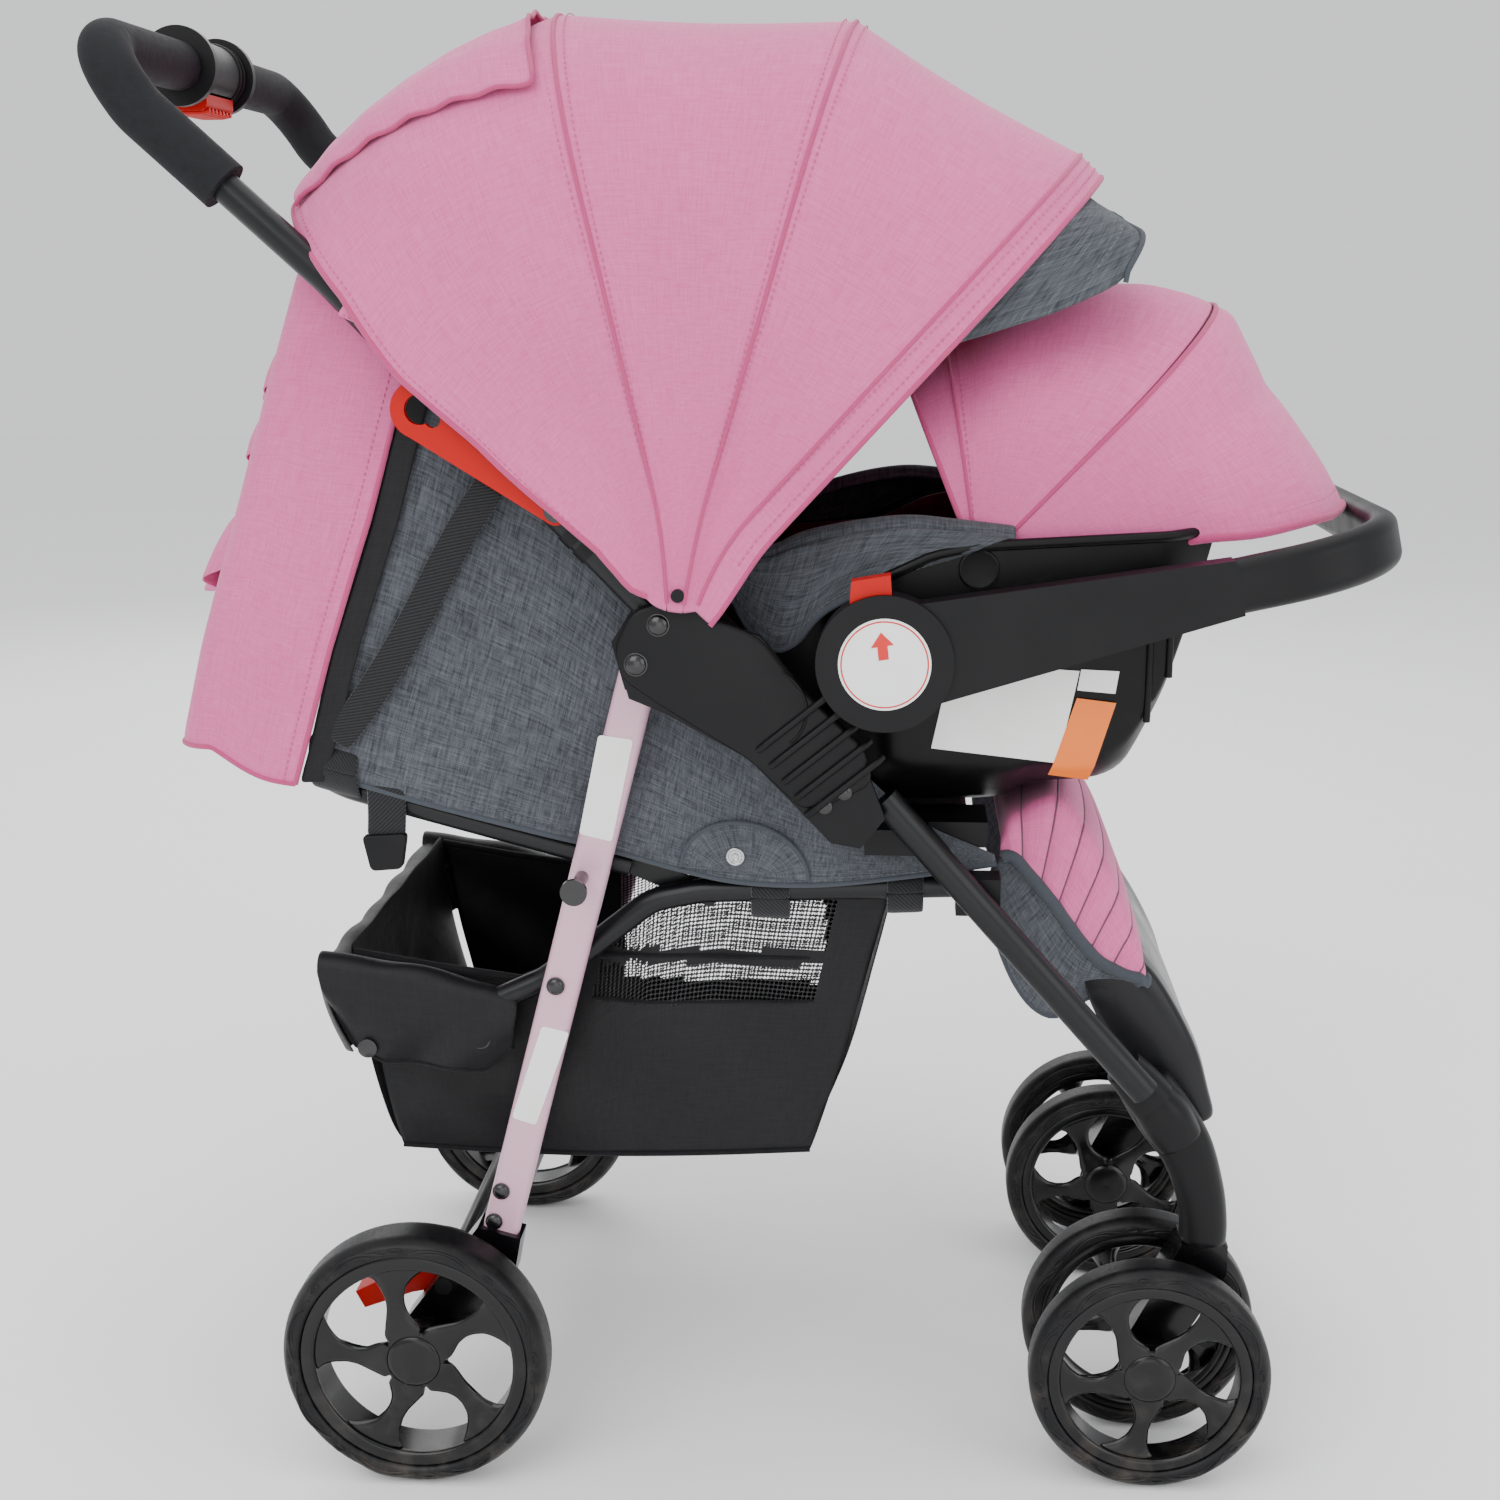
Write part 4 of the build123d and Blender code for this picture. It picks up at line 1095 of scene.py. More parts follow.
def build_head_wall():
    """Hanging cloth round the head end, with its frills and the black strips along its edges."""
    size = (0.55, 0.34)
    wall, area = cloth("head_wall_cloth", 110, 34, wall_spot, size, 0.0018)
    finish(wall, "frame", pink, "pink_cloth", stands_for=("head_curtain",))
    extras = []
    for side, tag in both_sides:
        u = 0.0 if side < 0 else 1.0
        piping = trim(f"head_wall_front_piping_{tag}", edge_run(wall_spot, 40, u=u), 0.0018, "frame", pink_dark,
                      "pink_cloth")
        run = [p + Vector((0, side * 0.0013, 0)) for p in edge_run(wall_spot, 40, u=abs(u - 0.022))]
        thread = stitches(f"head_wall_thread_{tag}", run, thread_pink, "frame", slot="pink_cloth")
        extras += [piping, thread]
    hem = trim("head_wall_hem", edge_run(wall_spot, 160, v=0), 0.0017, "frame", pink_dark, "pink_cloth")
    declare(wall, area, size)
    build_ruffles()
    for side, tag in both_sides:
        def spot(u, w):
            z = 470 + (735 - 470) * w
            front = wall_front_x(z)
            return pt(front + 2 + 16 * u, side * (166.0 - 3.2 * u), z)
        strip, area = cloth(f"black_edge_strip_{tag}", 4, 30, spot, (0.017, 0.29), 0.0012)
        finish(strip, "frame", black_nylon, "black_cloth")
        declare(strip, area, (0.018, 0.3))


def build_ruffles():
    """Gathered frills sewn across the back of the head wall."""
    rows = [("upper", 742, 32, 9, 9), ("middle", 700, 32, 9, 8), ("lower", 640, 56, 24, 5)]
    for name, z_top, drop, flare, waves in rows:
        def spot(u, w):
            y = (u - 0.5) * 2
            ends = max(0.0, 1 - abs(y) ** 5)
            swing = math.sin(u * waves * math.tau + 0.6 * math.sin(u * 11))
            z = z_top - drop * (1 - w) * (0.55 + 0.45 * ends)
            z += 2 * (1 - w) * math.cos(u * waves * math.tau * 0.5)
            fall = flare * (1 - w) ** 0.7 * (0.62 + 0.38 * swing) + 2.0 * math.sin(math.pi * w)
            out = 2.5 + fall * ends * 1.1
            turn = max(0.0, abs(y) - 0.86) / 0.14
            return pt(wall_rear_x(z) - out + 16 * turn ** 2, y * 160, z)
        size = (0.5, 0.06)
        frill, area = cloth(f"head_wall_frill_{name}", 150, 10, spot, size, 0.0011)
        finish(frill, "frame", pink, "pink_cloth")
        if area > size[0] * size[1]:
            size = (size[0], area / size[0] * 1.01)
        declare(frill, area, size)


# ---- seat sides ----------------------------------------------------------------------------
side_low = [(-303, 479), (-268, 468), (-222, 455), (-150, 437), (-111, 428), (-60, 414), (-20, 406), (30, 405),
            (90, 412), (144, 421)]
side_high = [(-232, 735), (-200, 730), (-150, 695), (-110, 665), (-70, 615), (-40, 585), (0, 545), (40, 500),
             (90, 452), (143, 427)]


def side_spot(side, out=0.0):
    """Grey side cloth between its lower and upper edges, with soft folds."""
    lows, highs = side_line(side_low, 60), side_line(side_high, 60)

    def place(u, w):
        p = spot_on(lows, u).lerp(spot_on(highs, u), w)
        soft = math.sin(math.pi * w) * math.sin(math.pi * min(1, u * 1.15)) if u < 0.87 else 0
        fold = 1.1 * math.sin(u * 19 - w * 9) * soft + 0.8 * math.sin(u * 7 + w * 13) * soft
        return pt(p.x, side * (158.6 - 1.8 * soft + fold + out), p.z)
    return place


def build_side_panels():
    """Grey cloth on each side of the seat, with a sewn half-moon patch and a snap."""
    size = (0.5, 0.29)
    for side, tag in both_sides:
        place = side_spot(side)
        panel, area = cloth(f"seat_side_cloth_{tag}", 70, 30, place, size, 0.0018)
        replaced = ("seat_side_panels",) if side < 0 else ()
        finish(panel, "frame", grey, "grey_cloth", stands_for=replaced)
        low_edge = trim(f"seat_side_piping_{tag}", edge_run(place, 90, v=0), 0.0019, "frame", grey_edge,
                        "grey_cloth")
        raised = side_spot(side, 1.3)
        run = [raised(i / 90, 0.035 + 0.05 * (i / 90) ** 3) for i in range(2, 88)]
        thread = stitches(f"seat_side_thread_{tag}", run, thread_grey, "frame", slot="grey_cloth")

        def moon(u, v):
            a = math.pi * (1 - u)
            width = 41 * math.cos(a) * (0.35 + 0.65 * v)
            rise = 34 * math.sin(a) * v ** 0.9
            return pt(-17 + width, side * (160.4 + 0.9 * math.sin(math.pi * v)), 412 - 0.10 * width + rise)
        patch, patch_area = cloth(f"half_moon_patch_{tag}", 26, 8, moon, (0.11, 0.05), 0.0012)
        finish(patch, "frame", grey, "grey_cloth")
        rim = trim(f"half_moon_edge_{tag}", edge_run(moon, 40, v=1), 0.0014, "frame", grey_edge, "grey_cloth")
        run = [p + Vector((0, side * 0.0009, 0)) for p in edge_run(moon, 40, v=0.86)[1:40]]
        inner = stitches(f"half_moon_thread_{tag}", run, thread_grey, "frame", pitch=0.0036, slot="grey_cloth")
        declare(patch, patch_area, (0.115, 0.052))
        declare(panel, area, size)
        build_snap(f"side_snap_{tag}", pt(-23, side * 162.2, 424), side, "frame")


def build_snap(name, centre, side, body, radius=0.0062):
    """Ring snap: a rolled outer ring, a dished face and a hollow post."""
    blank()
    bpy.ops.mesh.primitive_torus_add(location=centre, rotation=(math.pi / 2, 0, 0), major_radius=radius * 0.82,
                                     minor_radius=radius * 0.18, major_segments=36, minor_segments=10)
    ring = settle(named(name + "_ring"))
    face = disc(name + "_face", centre, radius * 0.78, 0.0009, sides=36)
    post = disc(name + "_post", centre + Vector((0, side * 0.0008, 0)), radius * 0.42, 0.0016, sides=28,
                inset=radius * 0.14, sink=0.0007)
    snap = joined(name, ring, face, post)
    finish(snap, body, steel, "snap_metal", angle=50)


# ---- basket --------------------------------------------------------------------------------
basket_floor_line = [(-286, 350), (-281, 300), (-270, 245), (-257, 209), (-235, 205), (-100, 207), (0, 211),
                     (22, 215), (36, 248), (52, 290), (66, 345), (76, 386)]


def basket_top(x):
    """Height of the basket's rim."""
    return table([(-285, 345), (-230, 336), (-170, 328), (-120, 348), (-78, 392), (-30, 401), (76, 392)], x)


def window_low(x):
    """Height of the net window's curved lower edge."""
    return 316 + 0.00045 * (x + 45) ** 2


def in_window(side, x, z):
    """Whether a spot of the wall is net; the far wall has one larger window."""
    if side > 0:
        return -140 < x < 24 and z > 232
    behind, ahead = -121 + (z - 316) * 0.15, 26 + (z - 316) * 0.24
    return behind < x < ahead and z > window_low(x) and not 343 < z < 353


def build_basket():
    """Sewn tub: sagging floor, near and far walls with net windows, and the rear flap."""
    for side, tag in both_sides:
        def place(u, w):
            x_low, x_top = -256 + 280 * u, -284 + 360 * u
            x = x_low + (x_top - x_low) * w ** 0.9
            low = 206 + 4 * u
            z = low + (basket_top(x_top) - low) * w
            belly = 7 * math.sin(math.pi * w) * math.sin(math.pi * u)
            z -= 5 * math.sin(math.pi * u) * (1 - w) ** 2
            crease = 2.4 * math.sin(u * 17 + w * 8) * math.sin(math.pi * w)
            crease += 1.0 * math.sin(u * 41 - w * 6) * w * (1 - w) * 2
            return pt(x, side * (134.5 + belly + crease), z)
        size = (0.37, 0.2)
        wall = grid(f"basket_side_{tag}", 90, 44, place)
        spread_map(wall, *size)
        area = measure(wall)
        pick(wall)
        wall.data.materials.append(black_nylon)
        wall.data.materials.append(net)
        for p in wall.data.polygons:
            x, z = p.center.x * 1000 - drawing_shift, p.center.z * 1000
            p.material_index = int(in_window(side, x, z))
        modify(wall, "SOLIDIFY", thickness=0.001, offset=0)
        smooth(wall)
        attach(wall, "frame")
        if side < 0:
            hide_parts("basket")
        for name, run, radius in (("window_low", [pt(x, 0, window_low(x)) for x in range(-121, 27, 7)], 0.0013),
                                  ("window_bar", [pt(x, 0, 348) for x in range(-116, 34, 10)], 0.0017)):
            seated = []
            for p in run:
                u = (p.x * 1000 - drawing_shift + 272) / 322
                w = (p.z - 0.208) / 0.18
                q = place(min(1, max(0, u)), min(1, max(0, w)))
                seated.append(Vector((p.x, q.y + side * 0.0008, p.z)))
            trim(f"basket_{name}_{tag}", seated, radius, "frame", black_cotton, "black_cloth")
        for name, w, radius in (("rim", 1, 0.0030), ("low_seam", 0.0, 0.0018)):
            trim(f"basket_{name}_{tag}", edge_run(place, 60, v=w), radius, "frame", black_cotton,
                              "black_cloth")
        declare(wall, area, size)
    floor_run = side_line(basket_floor_line, 60)

    def floor_place(u, v):
        p = spot_on(floor_run, u)
        across = math.sin(math.pi * v)
        dip = 7 * across * math.sin(math.pi * min(1, max(0, (u - 0.25) / 0.5))) if 0.25 < u < 0.75 else 0
        bulge = 0.0
        if u <= 0.25:
            bulge = -8 * across * math.sin(math.pi * u / 0.25)
        if u >= 0.75:
            bulge = 6 * across * math.sin(math.pi * (u - 0.75) / 0.25)
        crease = 1.3 * math.sin(v * 21 + u * 30)
        return pt(p.x + bulge, (v - 0.5) * 2 * 135.5, p.z - dip + crease * 0.6)
    size = (0.67, 0.275)
    tub, area = cloth("basket_floor_cloth", 76, 40, floor_place, size, 0.0012)
    finish(tub, "frame", black_nylon, "black_cloth")
    declare(tub, area, size)
    build_basket_flap()


def build_basket_flap():
    """Flaps folded over the frame tube at the sides, with two snaps each, and across the back."""
    wrap = 9.6
    for side, tag in both_sides:
        def place(u, w):
            x = -303 + 134 * u
            top = 346 - 27 * u + 4 * math.sin(u * math.pi)
            drop = table([(0, 26), (0.12, 52), (0.3, 60), (0.6, 56), (0.85, 50), (1, 26)], u)
            soft = 1.2 * math.sin(u * 13 + w * 5) * math.sin(math.pi * u)
            if w < 0.4:
                a = math.pi * (1 - w / 0.4)
                return pt(x, side * (149 + wrap * math.cos(a)), top - 6 + (wrap + soft) * math.sin(a))
            t = (w - 0.4) / 0.6
            bulge = 2.6 * math.sin(u * 15 + t * 4) * t + 3.4 * math.sin(math.pi * t)
            return pt(x + 6 * t * (1 - u) - 5 * t * u, side * (149 + wrap + bulge - 5 * t),
                      top - 6 - drop * t)
        size = (0.14, 0.10)
        flap, area = cloth(f"basket_rear_flap_{tag}", 30, 24, place, size)
        finish(flap, "frame", black_nylon, "black_cloth")
        hem = trim(f"basket_flap_hem_{tag}", edge_run(place, 30, v=1), 0.0015, "frame", black_cotton, "black_cloth")
        declare(flap, area, size)
        for k, (x, z) in enumerate(((-271, 286), (-194, 294))):
            cap = disc(f"basket_snap_{tag}_{k}", pt(x, side * 159.5, z), 0.0066, 0.0026, inset=0.0016, sink=0.0006)
            finish(cap, "frame", dark_steel, "snap_metal", angle=40)

    def back(u, w):
        y = (u - 0.5) * 2 * 156
        turn = max(0.0, abs(u - 0.5) - 0.44) / 0.06
        turned = 10.5 + 1.5 * math.sin(u * 31) * math.sin(math.pi * w)
        sag = 9 * math.sin(math.pi * u) + 2 * math.sin(u * 17)
        if w < 0.35:
            a = math.pi * (1 - w / 0.35)
            return pt(-297 - turned * math.cos(a) + 7 * turn ** 2, y, 333 - sag * 0.4 + turned * math.sin(a))
        t = (w - 0.35) / 0.65
        x = -307.5 + 20 * t + 7 * turn ** 2 - 4 * math.sin(u * 23) * t - 3 * math.sin(math.pi * t)
        return pt(x, y, 333 - sag * 0.4 - (52 + sag) * t)
    size = (0.3, 0.105)
    flap, area = cloth("basket_back_flap", 50, 24, back, size)
    finish(flap, "frame", black_nylon, "black_cloth")
    declare(flap, area, size)


# ---- soft pads -----------------------------------------------------------------------------
def pad_block(name, outline, half):
    """Padded blank: a side outline carried across, with its edges rolled over."""
    o = slab(name, outline, -half, half, 0)
    modify(o, "BEVEL", width=0.006, segments=3, limit_method="ANGLE", angle_limit=math.radians(40))
    return o


def puff(o, cap):
    """Fill a pad like a pillow, then hold how far each spot may swell."""
    modify(o, "REMESH", mode="VOXEL", voxel_size=0.006, adaptivity=0)
    rest = [v.co.copy() for v in o.data.vertices]
    pick(o)
    m = o.modifiers.new("Cloth", "CLOTH")
    s = m.settings
    s.quality = 4
    s.use_pressure = True
    s.uniform_pressure_force = 4.0
    s.effector_weights.gravity = 0
    s.mass = 0.3
    s.tension_stiffness = s.compression_stiffness = 12
    s.bending_stiffness = 1.5
    m.collision_settings.use_self_collision = False
    last = 20
    m.point_cache.frame_start, m.point_cache.frame_end = 1, last
    for f in range(1, last + 1):
        bpy.context.scene.frame_set(f)
    bpy.ops.object.modifier_apply(modifier=m.name)
    bpy.context.scene.frame_set(1)
    for v, was in zip(o.data.vertices, rest):
        move = v.co - was
        if move.length > cap:
            v.co = was + move.normalized() * cap
    modify(o, "SMOOTH", factor=0.5, iterations=3)
    return o


def keep_inside(o, low, high):
    """Hold a pad between its neighbours."""
    for v in o.data.vertices:
        for k in range(3):
            v.co[k] = min(max(v.co[k], low[k]), high[k])


def build_pads():
    """Seat cushion and backrest, filled like pillows."""
    cushion = pad_block("seat_cushion_pad", [(-32, 415), (134, 415), (136, 424), (130, 428), (-32, 428)], 150)
    puff(cushion, 0.004)
    low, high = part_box("seat_cushion")
    keep_inside(cushion, low, high + Vector((0, 0, 0.004)))
    finish(cushion, "frame", grey_pad, "grey_cloth", stands_for=("seat_cushion",))

    back = pad_block("backrest_cushion", [(-84, 425), (-290, 480), (-284, 498), (-78, 443)], 130)
    puff(back, 0.007)
    finish(back, "seat_back", grey_pad, "grey_cloth", stands_for=("backrest_pad",))


# ---- leg rest ------------------------------------------------------------------------------
leg_front = [(147, 432), (154, 444), (168, 453), (184, 457), (200, 440), (216, 412), (232, 375), (243, 345),
             (242, 336)]
leg_back = [(147, 420), (155, 421), (168, 407), (182, 390), (197, 369), (212, 352), (228, 343), (240, 339),
            (241, 334)]
wing_low = [(144, 412), (140, 396), (142, 376), (150, 352), (160, 330), (172, 314), (186, 308), (200, 318),
            (222, 330), (240, 331)]
leg_face = 0.74                         # share of the leg rest's width that faces forward
quilting = 7.4                          # quilted waves down the leg rest


def wrapped(front, back, half, flat, crown, round_side=0.3):
    """Cover whose face runs across and whose sides turn back from one line to the other."""
    def place(u, v):
        side = (v - 0.5) * 2
        s = abs(side)
        if s < flat:
            p = spot_on(front, u)
            lift = crown * (1 - (s / flat) ** 4) * math.sin(math.pi * min(1, max(0, u))) ** 0.5
            return pt(p.x + lift * 0.8, half * side / flat, p.z + lift * 0.6)
        t = (s - flat) / (1 - flat)
        p = spot_on(front, u).lerp(spot_on(back, u), t)
        y = half + 5 * math.sin(math.pi / 2 * min(1, t / round_side))
        return pt(p.x, math.copysign(y, side), p.z)
    return place


def build_leg_rest():
    """Quilted flap whose sides wrap round to a bound edge, with wavy sewn lines."""
    base = wrapped(side_line(leg_front, 80), side_line(leg_back, 80), 135, leg_face, 6)
    middle = pt(190, 0, 380)

    def outwards(p, v, face_share):
        """Way out of the cover: forward on its face, sideways past face_share."""
        ahead = Vector((p.x - middle.x, 0, p.z - middle.z)).normalized()
        turn = min(1.0, max(0.0, abs(v - 0.5) * 2 - face_share) / 0.1)
        return (ahead * (1 - turn) + Vector((0, math.copysign(1, v - 0.5), 0)) * turn).normalized()

    def face(u, v):
        p = base(u, v)
        puffing = abs(math.sin(math.pi * (u * quilting + 0.10 * math.sin(v * 9)))) ** 0.5 * 0.0022
        ends = min(1, u / 0.06, (1 - u) / 0.06)
        return p + outwards(p, v, leg_face) * puffing * max(0, ends)
    top = grid("leg_rest_pad", 150, 60, face)
    spread_map(top, 0.19, 0.36)
    face_away(top, middle)
    modify(top, "SOLIDIFY", thickness=0.008, offset=-1, use_even_offset=False)
    modify(top, "SMOOTH", factor=0.3, iterations=2)
    finish(top, "leg_flap", pink, "pink_cloth", stands_for=("leg_rest",))
    for k in range(1, 8):
        run = []
        for i in range(81):
            v = 0.01 + 0.98 * i / 80
            p = face((k - 0.02 - 0.10 * math.sin(v * 9)) / quilting, v)
            run.append(p + outwards(p, v, 0.70) * 0.0001)
        trim(f"leg_rest_quilting_{k}", run, 0.0006, "leg_flap", thread_dark, "pink_cloth")
    outer, inner = side_line(leg_back, 40), side_line(wing_low, 40)
    for side, tag in both_sides:
        edge = [base(0.01 + 0.98 * i / 60, 0.0 if side < 0 else 1.0) + Vector((0, side * 0.001, 0))
                for i in range(61)]
        trim(f"leg_rest_binding_{tag}", edge, 0.0042, "leg_flap", grey_edge, "grey_cloth")

        def wing(u, w):
            p = spot_on(outer, u).lerp(spot_on(inner, u), w)
            fold = 2.0 * math.sin(u * 11 + w * 4) * w
            return pt(p.x, side * (139.5 + 1.5 * math.sin(math.pi * w) + fold - 6 * w), p.z)
        size = (0.18, 0.1)
        flap, area = cloth(f"leg_rest_wing_{tag}", 40, 16, wing, size, 0.0016)
        finish(flap, "leg_flap", grey, "grey_cloth")
        hem = trim(f"leg_rest_wing_hem_{tag}", edge_run(wing, 40, v=1), 0.0015, "leg_flap", grey_edge, "grey_cloth")
        declare(flap, area, size)
    across = [p + Vector((0.001, 0, -0.001)) for p in edge_run(base, 40, u=0.985)]
    trim("leg_rest_binding_low", across, 0.0042, "leg_flap", grey_edge, "grey_cloth")


# ---- wheels --------------------------------------------------------------------------------
def spun(name, profile, steps=72):
    """Ring turned about the Y axis from an open or closed profile of (radius, y) in metres."""
    blank()
    bpy.ops.mesh.primitive_circle_add(vertices=len(profile), radius=1)
    o = named(name)
    for v, (r, y) in zip(o.data.vertices, profile):
        v.co = (r, y, 0)
    pick(o)
    bpy.ops.object.mode_set(mode="EDIT")
    bpy.ops.mesh.select_all(action="SELECT")
    bpy.ops.mesh.spin(steps=steps, angle=2 * math.pi, center=(0, 0, 0), axis=(0, 1, 0))
    bpy.ops.object.mode_set(mode="OBJECT")
    return outward(o)


def ring_map(o):
    """Map that goes round the wheel and across the tyre."""
    layer = o.data.uv_layers.active or o.data.uv_layers.new(name="UVMap")
    for loop, info in zip(o.data.loops, layer.data):
        co = o.data.vertices[loop.vertex_index].co
        info.uv = (math.atan2(co.z, co.x) / math.tau, math.hypot(co.x, co.z) * 10)
    return o


def tyre_mesh(name, radius, bead, width, lugs):
    """Tyre with a flat tread, rounded shoulders, embossed arcs and oval pads."""
    w = width / 2
    profile = round_outline([(bead, -w * 0.90), (bead + 0.002, -w), (radius - 0.0045, -w), (radius, -w * 0.62),
                               (radius, w * 0.62), (radius - 0.0045, w), (bead + 0.002, w), (bead, w * 0.90)],
                              0.0035, 4)
    parts = [spun(name, profile, 96)]
    low, high = bead + 0.0035, radius - 0.0048
    for side in (-1, 1):
        reach = 0.0235 * radius / 0.0889
        for kind in ("arc", "second", "oval"):
            pts = []
            for k in range(13):
                t = k / 12 * 2 - 1
                if kind == "oval":
                    r, along = (low + high) / 2 + 0.0016 * math.cos(t * math.pi), 0.0040 * math.sin(t * math.pi)
                    turn = math.pi / lugs
                else:
                    grow = 1.0 if kind == "arc" else 0.62
                    r = low + 0.0004 + (high - low) * grow * (1 - t * t)
                    along, turn = t * reach * grow, 0.0
                a = along / ((low + high) / 2) + turn
                pts.append(Vector((r * math.cos(a), side * (w - 0.0002), r * math.sin(a))))
            rib = cord_line(name + "_rib", pts[:-1] if kind == "oval" else pts, 0.0009, sides=1,
                            closed=kind == "oval")
            for k in range(lugs):
                twin = copied(rib, name + "_rib_copy")
                twin.data.transform(Matrix.Rotation(math.tau * k / lugs + 0.3, 4, "Y"))
                parts.append(twin)
            bpy.data.objects.remove(rib)
    return ring_map(joined(name, *parts))


def spoke_grid(name, opening, face):
    """One broad spoke between two leaning windows: it is narrow in the middle and opens at hub and rim."""
    k = opening / 66                    # the lines below are for a rim that opens 66 mm from its centre
    high = [(18, 73), (25, 75), (28, 83), (32, 92), (38, 96), (44, 96), (52, 93), (60, 86), (67.5, 78)]
    low = [(18, 145), (26, 143), (29, 134), (33, 126), (39, 118), (46, 114.5), (55, 114), (62, 115), (67.5, 119)]

    def place(u, v):
        r = 17 + 50.5 * u
        a, b = math.radians(table(high, r)), math.radians(table(low, r))
        side = (v - 0.5) * 2
        t = a + (b - a) * v
        roll = 0.0032 * abs(side) ** 6 if r > 25 else 0.0
        dish = 0.0030 * math.sin(math.pi * u)
        return Vector((r * k * math.cos(t), face + dish + roll, r * k * math.sin(t)))
    o = grid(name, 26, 12, place)
    modify(o, "SMOOTH", factor=0.5, iterations=2)
    face_away(o, Vector((0, 0.1, 0.03)))
    modify(o, "SOLIDIFY", thickness=0.011, offset=-1)
    modify(o, "SUBSURF", levels=1, render_levels=1)
    return outward(o)


def rim_mesh(name, bead, opening, hub_r, width, front):
    """Five-spoke wheel: barrel, flange, curved spokes, hub and cap; its outer face is at -Y."""
    w = width / 2
    barrel = spun(name + "_barrel", round_outline(
        [(bead + 0.0004, -w + 0.0015), (bead + 0.0004, w - 0.0015), (opening + 0.003, w - 0.002), (opening, w - 0.004),
         (opening + 0.002, -w + 0.006), (opening, -w + 0.0035), (opening + 0.002, -w + 0.001)], 0.0015, 3), 96)
    face = -w + 0.0065
    parts = [barrel]
    spoke = spoke_grid(name + "_spoke", opening, face - 0.003)
    for k in range(5):
        twin = copied(spoke, name + "_spoke_copy")
        twin.data.transform(Matrix.Rotation(math.tau * k / 5 - (0.25 if front else 0.0), 4, "Y"))
        parts.append(twin)
    bpy.data.objects.remove(spoke)
    hub = spun(name + "_hub", round_outline(
        [(0.0054, -w + 0.006), (hub_r, -w + 0.0042), (hub_r * 1.12, -w + 0.0052), (hub_r * 1.18, -w + 0.012),
         (hub_r * 0.9, w - 0.002), (0.0054, w - 0.002)], 0.0016, 3), 64)
    cap = spun(name + "_cap", round_outline(
        [(0.00001, -w + 0.0012), (hub_r * 0.8, -w + 0.0020), (hub_r * 0.97, -w + 0.0036), (hub_r * 0.97, -w + 0.008),
         (0.00001, -w + 0.008)], 0.0010, 3), 64)
    parts += [hub, cap]
    return joined(name, *parts)


def build_wheels():
    """Six wheels from two tyre and two rim patterns, each rim's outer face turned away from its neighbour."""
    rear_tyre = tyre_mesh("rear_tyre_pattern", 0.0889, 0.0762, 0.036, 8)
    rear_rim = rim_mesh("rear_rim_pattern", 0.0760, 0.0660, 0.0185, 0.034, False)
    front_tyre = tyre_mesh("front_tyre_pattern", 0.0791, 0.0668, 0.027, 8)
    front_rim = rim_mesh("front_rim_pattern", 0.0666, 0.0580, 0.0175, 0.026, True)
    spots = [("rear", side, "", -234.7, ys * 204.2, 88.9, rear_tyre, rear_rim, ys < 0, f"rear_wheel_{side}")
             for side, ys in (("right", -1), ("left", 1))]
    for side, ys in (("right", -1), ("left", 1)):
        for place, step in (("outer", 1), ("inner", -1)):
            spots.append(("front", side, "_" + place, 250.5, ys * (145.8 + step * 36.7), 79.1, front_tyre, front_rim,
                          ys * step < 0, f"front_wheel_{side}_{place}"))
    for kind, side, place, x, y, z, tyre, rim, faces_near, body in spots:
        for pattern, what, material, slot in ((tyre, "tyre", rubber, "tyre"), (rim, "rim", gloss, "gloss_black")):
            o = copied(pattern, f"{kind}_{what}_{side}{place}_detailed")
            if not faces_near:
                o.data.transform(Matrix.Scale(-1, 4, (0, 1, 0)))
                outward(o)
            o.data.transform(Matrix.Translation(pt(x, y, z)))
            finish(o, body, material, slot, angle=42 if what == "rim" else 50,
                   stands_for=(f"{kind}_{what}_{side}{place}",))
    for o in (rear_tyre, rear_rim, front_tyre, front_rim):
        bpy.data.objects.remove(o)


# ---- straps --------------------------------------------------------------------------------
def strap_piece(name, run, side_way, width, thick, steps, body):
    """Finished webbing."""
    tape, area, size = ribbon(name, run, Vector(side_way), width, thick, steps)
    finish(tape, body, webbing, "webbing")
    declare(tape, area, size)


